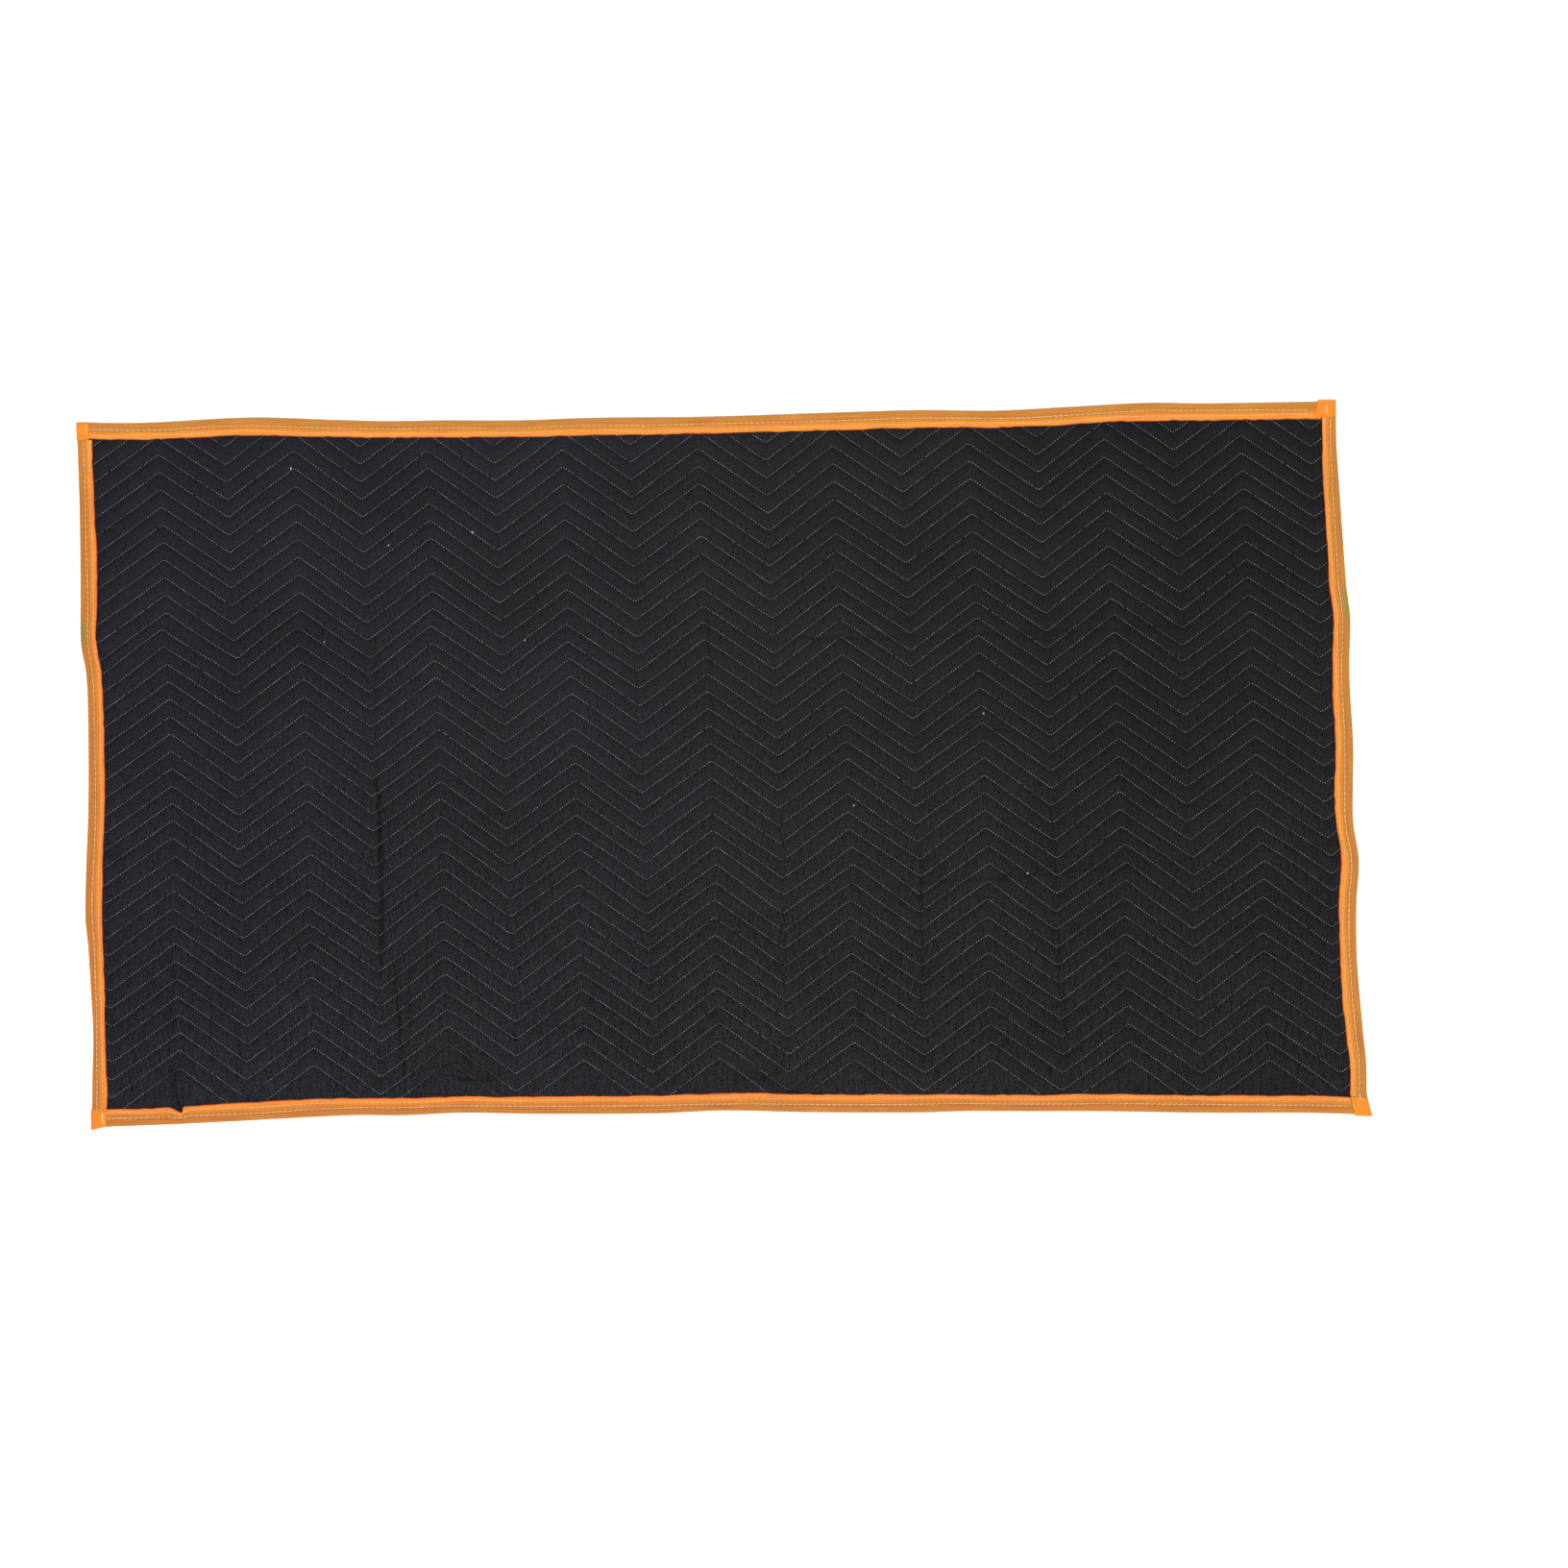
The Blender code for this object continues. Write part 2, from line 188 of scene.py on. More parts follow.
def newGroup(name, inputs, outputName, outputType="NodeSocketFloat"):
    # Each input starts from a single number, a vector of three or a colour of four
    group = bpy.data.node_groups.new(name, "ShaderNodeTree")
    for socketName, value in inputs.items():
        size = len(value) if isinstance(value, tuple) else 1
        socketType = {1: "NodeSocketFloat", 3: "NodeSocketVector", 4: "NodeSocketColor"}[size]
        socket = group.interface.new_socket(name=socketName, in_out="INPUT", socket_type=socketType)
        socket.default_value = value
    group.interface.new_socket(name=outputName, in_out="OUTPUT", socket_type=outputType)
    entry = group.nodes.new("NodeGroupInput").outputs
    leave = group.nodes.new("NodeGroupOutput").inputs[0]
    return group, entry, leave


# Node groups that more than one material uses

def makePlainWeave():
    # Threads passing over and under each other, as a height from 0 to 1
    group, entry, leave = newGroup(
        "plainWeave", {"Vector": (0.0, 0.0, 0.0), "Warp Per Metre": 1500.0, "Weft Per Metre": 1300.0}, "Height")
    apart = splitOf(group, entry["Vector"])
    warp = mathOf(group, "MULTIPLY", apart["X"], entry["Warp Per Metre"])
    weft = mathOf(group, "MULTIPLY", apart["Y"], entry["Weft Per Metre"])
    heights = []
    for own, other, turn in ((warp, weft, 0.0), (weft, warp, 1.0)):
        thread = mathOf(group, "ABSOLUTE", mathOf(group, "SINE", mathOf(group, "MULTIPLY", own, math.pi)))
        order = mathOf(group, "ADD", mathOf(group, "FLOOR", own), turn)
        along = mathOf(group, "ADD", mathOf(group, "SUBTRACT", other, 0.5), order)
        # 0.17 where the thread dives under, 1.01 where it passes over
        lift = mathOf(group, "ADD", mathOf(group, "COSINE", mathOf(group, "MULTIPLY", along, math.pi)), 1.4)
        heights.append(mathOf(group, "MULTIPLY", thread, mathOf(group, "MULTIPLY", lift, 0.42)))
    group.links.new(mathOf(group, "MAXIMUM", *heights), leave)
    return group


def makeStretchedNoise():
    # Noise drawn out along one direction: wrinkles, streaks and slubs
    group, entry, leave = newGroup(
        "stretchedNoise", {"Vector": (0.0, 0.0, 0.0), "Scale": (1.0, 1.0, 1.0), "Detail": 2.0,
                           "Low": 0.0, "High": 1.0}, "Value")
    spread = vectorOf(group, "MULTIPLY", entry["Vector"], entry["Scale"])
    noise = addNode(group, "ShaderNodeTexNoise",
                    {"Vector": spread, "Scale": 1.0, "Detail": entry["Detail"], "Roughness": 0.55})
    # nearly all of the raw noise lies between 0.28 and 0.72
    group.links.new(rangeOf(group, noise.outputs["Fac"], 0.28, 0.72, entry["Low"], entry["High"]), leave)
    return group


def makeToneShift():
    # Lightens or darkens a colour by a factor
    group, entry, leave = newGroup("toneShift", {"Color": (0.5, 0.5, 0.5, 1.0), "Factor": 1.0},
                                   "Color", "NodeSocketColor")
    group.links.new(scaleOf(group, entry["Color"], entry["Factor"]), leave)
    return group


def makeFoldLine():
    # A mask along the line between two points: 1 in its middle, nothing at its ends and sides
    group, entry, leave = newGroup(
        "foldLine", {"Vector": (0.0, 0.0, 0.0), "Start": (0.0, 0.0, 0.0), "End": (1.0, 0.0, 0.0),
                     "Half Width": 0.003}, "Mask")
    run = vectorOf(group, "SUBTRACT", entry["End"], entry["Start"])
    away = vectorOf(group, "SUBTRACT", entry["Vector"], entry["Start"])
    share = clampOf(group, mathOf(group, "DIVIDE", vectorOf(group, "DOT_PRODUCT", away, run),
                                  vectorOf(group, "DOT_PRODUCT", run, run)))
    beside = vectorOf(group, "DISTANCE", away, scaleOf(group, run, share))
    line = rangeOf(group, mathOf(group, "DIVIDE", beside, entry["Half Width"]), 1.0, 0.0, easing="SMOOTHSTEP")
    toEnd = mathOf(group, "MINIMUM", share, mathOf(group, "SUBTRACT", 1.0, share))
    group.links.new(mathOf(group, "MULTIPLY", line, rangeOf(group, toEnd, 0.0, 0.22)), leave)
    return group


def makeNearSpot():
    # A mask round a spot: 1 on it, nothing from the reach outward
    group, entry, leave = newGroup(
        "nearSpot", {"Vector": (0.0, 0.0, 0.0), "Spot": (0.0, 0.0, 0.0), "Reach": 0.03}, "Mask")
    away = vectorOf(group, "DISTANCE", entry["Vector"], entry["Spot"])
    away = mathOf(group, "DIVIDE", away, entry["Reach"])
    group.links.new(rangeOf(group, away, 1.0, 0.0, easing="SMOOTHSTEP"), leave)
    return group


plainWeave = makePlainWeave()
stretchedNoise = makeStretchedNoise()
toneShift = makeToneShift()
foldLine = makeFoldLine()
nearSpot = makeNearSpot()


def noiseOf(tree, place, scale, detail, low, high):
    return useGroup(tree, stretchedNoise,
                    {"Vector": place, "Scale": scale, "Detail": detail, "Low": low, "High": high})


def newMaterial(name, roughness, sheen=0.0, specular=0.5):
    material = bpy.data.materials.new(name)
    material.use_nodes = True
    tree = material.node_tree
    shader = tree.nodes["Principled BSDF"].inputs
    shader["Roughness"].default_value = roughness
    shader["Specular IOR Level"].default_value = specular
    shader["Sheen Weight"].default_value = sheen
    shader["Sheen Roughness"].default_value = 0.4
    return material, tree, shader


def paint(tree, shader, colour, tone):
    tree.links.new(useGroup(tree, toneShift, {"Color": colour, "Factor": tone}), shader["Base Color"])


def weaveBump(tree, place, finish, under):
    warp, weft = finish["threadsPerMetre"]
    weave = useGroup(tree, plainWeave, {"Vector": place, "Warp Per Metre": warp, "Weft Per Metre": weft})
    return bumpOf(tree, weave, finish["weaveStrength"], finish["weaveDepth"], under)


# Materials

clothFinish = {
    # from left to right: a little blue at the left end; palest left of the middle and darker towards both ends,
    # which is painted sheen
    "tonesAndSheen": [
        (0.00, (0.0088, 0.0083, 0.0116, 1.0)), (0.30, (0.0101, 0.0097, 0.0126, 1.0)),
        (0.45, (0.0104, 0.0100, 0.0128, 1.0)), (0.62, (0.0096, 0.0092, 0.0112, 1.0)),
        (0.82, (0.0081, 0.0081, 0.0095, 1.0)), (1.00, (0.0081, 0.0081, 0.0091, 1.0)),
    ],
    "roughness": 0.68,
    "sheen": 0.02,
    "specular": 0.08,
    "threadsPerMetre": (1700.0, 1450.0),
    "weaveDepth": 0.00010,
    "weaveStrength": 0.6,
    "wrinkleDepth": 0.0030,
    # noises: how fine along and down the cloth, detail, lowest and highest
    "noises": {
        "patches": ((4.0, 5.5, 1.0), 3.0, 0.86, 1.14),
        "slubs": ((700.0, 60.0, 1.0), 2.0, 0.88, 1.12),
        "grain": ((390.0, 350.0, 1.0), 1.0, -0.75, 0.75),
        # painted shade of the fine upright wrinkles, as short dark ticks
        "wrinkleShade": ((200.0, 44.0, 1.0), 3.0, -0.40, 0.32),
        "worn": ((9.0, 9.0, 1.0), 3.0, 0.63, 0.75),
        "wrinkles": ((150.0, 11.0, 1.0), 3.0, 0.0, 1.0),
        "crossWrinkles": ((60.0, 75.0, 1.0), 3.0, 0.0, 0.5),
    },
    # slow changes over the pad: axis, from and to in metres, and the values there
    "slopes": {
        "across": ("X", -0.9, 0.9, 0.0, 1.0),
        # painted shade: darker towards the top right corner
        "paintedShadeRight": ("X", 0.2, 0.8, 0.0, 1.0),
        "paintedShadeUp": ("Y", -0.4, 0.4, 0.0, 0.16),
        # painted sheen: paler below
        "paintedSheenBelow": ("Y", 0.3, -0.45, 1.0, 1.11),
        "rougherBelow": ("Y", 0.45, -0.4, 0.5, 1.0),
        # the painted wrinkle shade is strongest below
        "wrinkleShadeBelow": ("Y", 0.30, -0.40, 0.25, 1.0),
    },
    # how far the painted shade darkens the cloth along the folds
    "paintedFoldShade": 0.60,
    "foldWander": (38.0, 0.016),    # how fine, and how many metres
    "foldBreaks": ((55.0, 70.0, 1.0), 2.0, 0.30, 1.25),
    # painted shade along the fine folds: from and to, along and down the cloth, half width, strength
    "folds": [
        ((0.413, 0.490), (0.422, 0.670), 0.0046, 1.15), ((0.422, 0.650), (0.415, 0.815), 0.0046, 1.15),
        ((0.421, 0.253), (0.413, 0.520), 0.0036, 0.35), ((0.434, 0.755), (0.447, 0.988), 0.0036, 0.95),
        ((0.459, 0.797), (0.450, 0.890), 0.0032, 0.85), ((0.356, 0.586), (0.416, 0.642), 0.0040, 0.40),
        ((0.358, 0.636), (0.418, 0.692), 0.0040, 0.35), ((0.893, 0.276), (0.896, 0.385), 0.0036, 0.65),
        ((0.896, 0.360), (0.895, 0.630), 0.0036, 0.30), ((0.994, 0.400), (0.987, 0.915), 0.0036, 0.22),
        ((1.190, 0.580), (1.180, 0.932), 0.0036, 0.50), ((1.374, 0.510), (1.390, 0.992), 0.0036, 0.50),
        ((0.030, 0.630), (0.035, 0.962), 0.0036, 0.40), ((0.122, 0.724), (0.114, 0.900), 0.0038, 0.30),
        ((0.117, 0.910), (0.125, 1.000), 0.0055, 1.10), ((0.112, 0.930), (0.116, 0.990), 0.0036, 0.70),
        ((0.128, 0.925), (0.129, 0.985), 0.0036, 0.55), ((0.202, 0.845), (0.222, 0.984), 0.0036, 0.30),
        ((0.940, 0.325), (1.320, 0.317), 0.0044, 0.45), ((1.280, 0.318), (1.670, 0.313), 0.0044, 0.45),
        ((1.095, 0.681), (1.550, 0.648), 0.0044, 0.45), ((0.595, 0.662), (0.860, 0.691), 0.0044, 0.35),
        ((0.090, 0.676), (0.368, 0.685), 0.0044, 0.25), ((1.220, 0.460), (1.348, 0.456), 0.0044, 0.40),
        ((1.700, 0.626), (1.795, 0.619), 0.0046, 0.50), ((0.572, 0.866), (0.752, 0.882), 0.0044, 0.35),
        ((0.024, 0.636), (0.088, 0.569), 0.0046, 0.50), ((0.462, 0.938), (0.560, 0.918), 0.0046, 0.75),
        ((0.505, 0.949), (0.600, 0.950), 0.0044, 0.65), ((0.556, 0.925), (0.580, 0.978), 0.0044, 0.65),
        ((0.520, 0.905), (0.556, 0.960), 0.0044, 0.45),
    ],
}


def makeFoldShadeMask(tree, place):
    # Painted shade along all the fine folds together, a little wavy and broken
    flat = vectorOf(tree, "MULTIPLY", place, (1.0, 1.0, 0.0))
    fineness, reach = clothFinish["foldWander"]
    wander = addNode(tree, "ShaderNodeTexNoise", {"Vector": flat, "Scale": fineness, "Detail": 2.0})
    wander = vectorOf(tree, "ADD", wander.outputs["Color"], (-0.5, -0.5, -0.5))
    wavy = vectorOf(tree, "ADD", flat, vectorOf(tree, "MULTIPLY", wander, (reach, reach, 0.0)))
    masks = []
    for start, end, halfWidth, strength in clothFinish["folds"]:
        mask = useGroup(tree, foldLine, {"Vector": wavy, "Start": groundSpot(*start, 0.0),
                                         "End": groundSpot(*end, 0.0), "Half Width": halfWidth})
        masks.append(mathOf(tree, "MULTIPLY", mask, strength))
    broken = noiseOf(tree, flat, *clothFinish["foldBreaks"])
    return mathOf(tree, "MULTIPLY", mathOf(tree, "MAXIMUM", *masks), broken)


def makeClothMaterial():
    material, tree, shader = newMaterial("blackCloth", clothFinish["roughness"],
                                         clothFinish["sheen"], clothFinish["specular"])
    place = objectPlace(tree)
    onPad = splitOf(tree, place)
    noise = {name: noiseOf(tree, place, *settings) for name, settings in clothFinish["noises"].items()}
    slope = {name: rangeOf(tree, onPad[axis], *ends) for name, (axis, *ends) in clothFinish["slopes"].items()}
    # painted sheen: the colour is palest left of the middle
    colour = rampOf(tree, slope["across"], clothFinish["tonesAndSheen"])
    # painted shade in the top right corner; the painted sheen below is multiplied in further down
    corner = mathOf(tree, "SUBTRACT", 1.0, mathOf(tree, "MULTIPLY", slope["paintedShadeRight"], slope["paintedShadeUp"]))
    # random grain, and the painted shade of the fine wrinkles
    grainAndWrinkleShade = mathOf(tree, "ADD", 1.0, mathOf(tree, "MULTIPLY", noise["wrinkleShade"], slope["wrinkleShadeBelow"]),
                     mathOf(tree, "MULTIPLY", noise["grain"], slope["rougherBelow"]))
    # painted shade along the folds
    fold = mathOf(tree, "MULTIPLY", makeFoldShadeMask(tree, place), clothFinish["paintedFoldShade"])
    tone = mathOf(tree, "MULTIPLY", noise["patches"], noise["slubs"], corner, slope["paintedSheenBelow"], grainAndWrinkleShade,
                  mathOf(tree, "SUBTRACT", 1.0, fold))
    paint(tree, shader, colour, tone)
    tree.links.new(noise["worn"], shader["Roughness"])
    wrinkles = mathOf(tree, "ADD", noise["wrinkles"], noise["crossWrinkles"])
    wrinkles = mathOf(tree, "MULTIPLY", wrinkles, slope["rougherBelow"])
    relief = bumpOf(tree, wrinkles, 1.0, clothFinish["wrinkleDepth"])
    tree.links.new(weaveBump(tree, place, clothFinish, relief), shader["Normal"])
    return material


tapeFinish = {
    # share of the face in from the fold, and the colour from there on; the last stops darken into a painted
    # shadow along the inner lip
    "bandsAndLipShadow": [
        (0.00, (0.410, 0.160, 0.038, 1.0)), (0.12, (0.410, 0.140, 0.018, 1.0)),
        (0.30, (0.395, 0.129, 0.013, 1.0)), (0.42, (0.395, 0.132, 0.015, 1.0)),
        (0.50, (0.430, 0.142, 0.014, 1.0)), (0.60, (0.485, 0.150, 0.010, 1.0)),
        (0.70, (0.590, 0.180, 0.013, 1.0)), (0.84, (0.650, 0.198, 0.018, 1.0)),
        (0.91, (0.640, 0.183, 0.019, 1.0)), (0.945, (0.540, 0.120, 0.013, 1.0)),
        (0.970, (0.270, 0.040, 0.007, 1.0)), (1.00, (0.070, 0.012, 0.005, 1.0)),
    ],
    # share of the face, and how bright the tape is there: painted shade beside each row of stitches, a little
    # brighter between
    "beside": [
        (0.00, 1.0), (0.35, 1.0), (0.400, 0.74), (0.430, 1.06), (0.475, 1.06), (0.505, 0.76), (0.55, 1.0),
        (0.675, 1.0), (0.708, 0.80), (0.735, 1.06), (0.765, 1.06), (0.795, 0.84), (0.84, 1.0), (1.0, 1.0),
    ],
    # fades: from and to in metres up or across the pad; painted light makes the top edge brighter by the last
    # number
    "litTopEdge": (0.40, 0.48, 1.0, 1.10),
    "lowerEdge": (-0.38, -0.47),
    "leftOfTab": (0.880, 0.860),
    "leftEdge": (-0.840, -0.885),
    "underTop": (0.47, 0.40),
    "outerHalf": (0.55, 0.35),      # a fade too, in shares of the face
    "olive": (0.230, 0.170, 0.030, 1.0),
    # where the tape bends and its outer half has turned olive: along and down the cloth, reach
    "oliveSpots": [((0.004, 0.300), 0.036), ((1.804, 0.285), 0.032)],
    "oliveStrength": 0.75,
    "golden": (0.97, 1.15, 0.95, 1.0),      # some runs of the tape are yellower by this
    # painted shade: the lower and the left edge are darker and redder by this
    "redderAndShaded": (0.985, 0.875, 0.81, 1.0),    # the lower and the left edge are redder by this
    "tab": (0.645, 0.182, 0.0098, 1.0),
    "roughness": 0.58,
    "specular": 0.18,
    "threadsPerMetre": (1000.0, 1300.0),
    "weaveDepth": 0.00012,
    "weaveStrength": 0.7,
    "rippleDepth": 0.00035,
    "faceWidth": 0.025,
    # noises: how fine along and across the tape, detail, lowest and highest
    "wander": ((14.0, 40.0, 1.0), 2.0, -0.035, 0.035),
    "streaks": ((14.0, 700.0, 1.0), 3.0, 0.80, 1.14),
    "clouds": ((22.0, 90.0, 1.0), 3.0, 0.93, 1.06),
    "goldenRuns": ((24.0, 260.0, 1.0), 3.0, -0.4, 1.3),
    "ripples": ((260.0, 110.0, 1.0), 2.0, 0.0, 1.0),
}


def makeTapeMaterial(name, doubled):
    # Thin woven tape: darker over the cloth, brighter where it lies double
    material, tree, shader = newMaterial(name, tapeFinish["roughness"], 0.0, tapeFinish["specular"])
    mapped = splitOf(tree, addNode(tree, "ShaderNodeUVMap", uv_map="tapeMap").outputs[0])
    sideways = mathOf(tree, "MULTIPLY", mapped["Y"], tapeFinish["faceWidth"])
    metres = addNode(tree, "ShaderNodeCombineXYZ", {"X": mapped["X"], "Y": sideways}).outputs[0]
    ground = objectPlace(tree)
    onPad = splitOf(tree, ground)
    colour = tapeFinish["tab"]
    tone = mathOf(tree, "MULTIPLY", noiseOf(tree, metres, *tapeFinish["streaks"]),
                  noiseOf(tree, metres, *tapeFinish["clouds"]))
    if not doubled:
        share = mathOf(tree, "ABSOLUTE", mapped["Y"])
        wander = noiseOf(tree, metres, *tapeFinish["wander"])
        # the colour across the tape, with a painted shadow at the inner lip
        colour = rampOf(tree, mathOf(tree, "ADD", share, wander), tapeFinish["bandsAndLipShadow"])
        spots = [useGroup(tree, nearSpot, {"Vector": ground, "Spot": groundSpot(*spot, 0.005), "Reach": reach})
                 for spot, reach in tapeFinish["oliveSpots"]]
        turned = mathOf(tree, "MULTIPLY", mathOf(tree, "MAXIMUM", *spots),
                        rangeOf(tree, share, *tapeFinish["outerHalf"]), tapeFinish["oliveStrength"])
        colour = mixOf(tree, turned, colour, tapeFinish["olive"])
        # painted shade beside the stitch rows, and painted light on the top tape
        stitchShadeGreys = [(place, (level, level, level, 1.0)) for place, level in tapeFinish["beside"]]
        tone = mathOf(tree, "MULTIPLY", tone, rampOf(tree, share, stitchShadeGreys),
                      rangeOf(tree, onPad["Y"], *tapeFinish["litTopEdge"]))
    goldenRuns = clampOf(tree, noiseOf(tree, metres, *tapeFinish["goldenRuns"]))
    golden = mixOf(tree, 1.0, colour, tapeFinish["golden"], "MULTIPLY")
    colour = mixOf(tree, goldenRuns, colour, golden)
    edge = {name: rangeOf(tree, onPad[axis], *tapeFinish[name])
            for name, axis in (("lowerEdge", "Y"), ("leftOfTab", "X"), ("leftEdge", "X"), ("underTop", "Y"))}
    # painted shade along the lower and the left edge
    redderAndShaded = mathOf(tree, "MAXIMUM", mathOf(tree, "MINIMUM", edge["lowerEdge"], edge["leftOfTab"]),
                    mathOf(tree, "MINIMUM", edge["leftEdge"], edge["underTop"]))
    colour = mixOf(tree, redderAndShaded, colour, tapeFinish["redderAndShaded"], "MULTIPLY")
    paint(tree, shader, colour, tone)
    relief = bumpOf(tree, noiseOf(tree, metres, *tapeFinish["ripples"]), 1.0, tapeFinish["rippleDepth"])
    tree.links.new(weaveBump(tree, metres, tapeFinish, relief), shader["Normal"])
    return material


threadFinish = {
    # colour, dullest and brightest, roughness, how fine the changes are along and down the pad
    "greyThread": ((0.35, 0.35, 0.36, 1.0), 0.30, 1.62, 0.60, (42.0, 56.0, 1.0)),
    "creamThread": ((0.66, 0.42, 0.26, 1.0), 0.75, 1.10, 0.55, (22.0, 34.0, 1.0)),
    "peachThread": ((0.78, 0.44, 0.26, 1.0), 0.80, 1.05, 0.55, (22.0, 34.0, 1.0)),
    "whiteLint": ((0.75, 0.74, 0.72, 1.0), 0.80, 1.05, 0.80, (22.0, 34.0, 1.0)),
    "sheen": 0.1,
    "specular": 0.3,
    "twist": ((2500.0, 2500.0, 2500.0), 1.0, 0.0, 1.0),
    "twistStrength": 0.5,
    "twistDepth": 0.0001,
}


def makeThreadMaterial(name):
    # Twisted thread, brighter and duller along its run
    colour, dull, bright, roughness, spread = threadFinish[name]
    material, tree, shader = newMaterial(name, roughness, threadFinish["sheen"], threadFinish["specular"])
    place = objectPlace(tree)
    paint(tree, shader, colour, noiseOf(tree, place, spread, 4.0, dull, bright))
    twist = noiseOf(tree, place, *threadFinish["twist"])
    relief = bumpOf(tree, twist, threadFinish["twistStrength"], threadFinish["twistDepth"])
    tree.links.new(relief, shader["Normal"])
    return material


def makeFloorMaterial():
    material, tree, shader = newMaterial("paleFloor", studio["floorRoughness"], 0.0, 0.0)
    tone = studio["floorTone"]
    paint(tree, shader, (tone, tone, tone, 1.0), noiseOf(tree, objectPlace(tree), *studio["floorUneven"]))
    return material


def setUpFloor():
    half, drop = studio["floorSize"] / 2, -studio["floorDrop"]
    mesh = bpy.data.meshes.new("paleFloor")
    mesh.from_pydata([(-half, -half, drop), (half, -half, drop), (half, half, drop), (-half, half, drop)],
                     [], [(0, 1, 2, 3)])
    mesh.materials.append(makeFloorMaterial())
    newObject("paleFloor", mesh)


setUpLight()
setUpFloor()
print("light and floor set up")


# The cloth's own measure: metres along it and down it, and where that lies on the ground

padShape = {
    "length": 1.810,
    "width": 1.000,
    "topLeft": (-0.9144, 0.5081),
    "topRight": (0.8811, 0.5071),
    "bottomLeft": (-0.9104, -0.4969),
    "bottomRight": (0.9076, -0.5094),
    "edgeInset": 0.0022,            # the cloth's cut edge, inside the fold of the tape
    "modelInset": 0.0013,           # the same edge in the CAD model
    # each edge: share of its length, how far it stands out, how wide the tape's face is
    "top": [
        (0.000, 0.0000, 0.0254), (0.055, -0.0019, 0.0241), (0.137, 0.0030, 0.0261),
        (0.200, -0.0019, 0.0255), (0.245, -0.0054, 0.0245), (0.290, -0.0057, 0.0252),
        (0.350, -0.0075, 0.0245), (0.410, -0.0057, 0.0253), (0.500, -0.0067, 0.0246),
        (0.610, -0.0037, 0.0256), (0.670, -0.0025, 0.0260), (0.730, -0.0051, 0.0244),
        (0.790, -0.0014, 0.0252), (0.850, 0.0023, 0.0254), (0.895, 0.0002, 0.0250),
        (1.000, 0.0000, 0.0251),
    ],
    "right": [
        (0.000, 0.0000, 0.0220), (0.060, -0.0016, 0.0217), (0.120, -0.0002, 0.0236),
        (0.219, 0.0024, 0.0240), (0.261, 0.0039, 0.0242), (0.305, 0.0072, 0.0243),
        (0.361, 0.0036, 0.0253), (0.402, 0.0024, 0.0255), (0.483, 0.0036, 0.0263),
        (0.543, 0.0004, 0.0262), (0.590, -0.0012, 0.0254), (0.644, 0.0045, 0.0255),
        (0.705, -0.0017, 0.0260), (0.786, -0.0042, 0.0247), (0.887, 0.0001, 0.0260),
        (0.928, 0.0025, 0.0235), (1.000, 0.0000, 0.0240),
    ],
    "bottom": [
        (0.000, 0.0000, 0.0254), (0.049, -0.0023, 0.0242), (0.109, -0.0062, 0.0258),
        (0.169, -0.0110, 0.0262), (0.207, -0.0132, 0.0254), (0.245, -0.0124, 0.0254),
        (0.290, -0.0151, 0.0235), (0.350, -0.0124, 0.0253), (0.441, -0.0113, 0.0260),
        (0.496, -0.0143, 0.0256), (0.562, -0.0107, 0.0260), (0.652, -0.0086, 0.0258),
        (0.682, -0.0098, 0.0244), (0.727, -0.0089, 0.0233), (0.788, -0.0077, 0.0244),
        (0.878, -0.0037, 0.0248), (0.953, -0.0022, 0.0247), (1.000, 0.0010, 0.0244),
    ],
    "left": [
        (0.000, 0.0000, 0.0216), (0.110, -0.0014, 0.0218), (0.192, -0.0010, 0.0238),
        (0.254, 0.0001, 0.0240), (0.314, 0.0006, 0.0227), (0.356, -0.0057, 0.0226),
        (0.417, -0.0072, 0.0230), (0.540, -0.0050, 0.0240), (0.642, 0.0007, 0.0240),
        (0.703, 0.0028, 0.0250), (0.744, -0.0003, 0.0227), (0.785, -0.0020, 0.0210),
        (0.865, -0.0048, 0.0178), (0.928, -0.0024, 0.0208), (1.000, 0.0000, 0.0230),
    ],
}
padLength, padWidth = padShape["length"], padShape["width"]


def smoothCurve(side, column, shares):
    # A column of an edge's table, read as a smooth curve at many places at once
    table = np.array(padShape[side])
    places, values = table[:, 0], table[:, column]
    last = len(places) - 1
    low, high = np.maximum(np.arange(last + 1) - 1, 0), np.minimum(np.arange(last + 1) + 1, last)
    slopes = (values[high] - values[low]) / (places[high] - places[low])
    at = np.clip(shares, 0.0, 1.0)
    k = np.clip(np.searchsorted(places, at, side="right") - 1, 0, last - 1)
    span = places[k + 1] - places[k]
    step = (at - places[k]) / span
    rise = 3 * step ** 2 - 2 * step ** 3
    swing = span * (slopes[k] * step * (1 - step) ** 2 - slopes[k + 1] * step ** 2 * (1 - step))
    return values[k] * (1 - rise) + values[k + 1] * rise + swing


def flatSpot(along, down):
    # Ground place of points of the cloth, before the pad is centred
    u, v = np.broadcast_arrays(along / padLength, down / padWidth)
    corner = {name: np.array(padShape[name]) for name in ("topLeft", "topRight", "bottomLeft", "bottomRight")}
    top = corner["topLeft"] + (corner["topRight"] - corner["topLeft"]) * u[..., None]
    bottom = corner["bottomLeft"] + (corner["bottomRight"] - corner["bottomLeft"]) * u[..., None]
    spot = top + (bottom - top) * v[..., None]
    x = spot[..., 0] + smoothCurve("right", 1, v) * u - smoothCurve("left", 1, v) * (1 - u)
    y = spot[..., 1] + smoothCurve("top", 1, u) * (1 - v) - smoothCurve("bottom", 1, u) * v
    return x, y


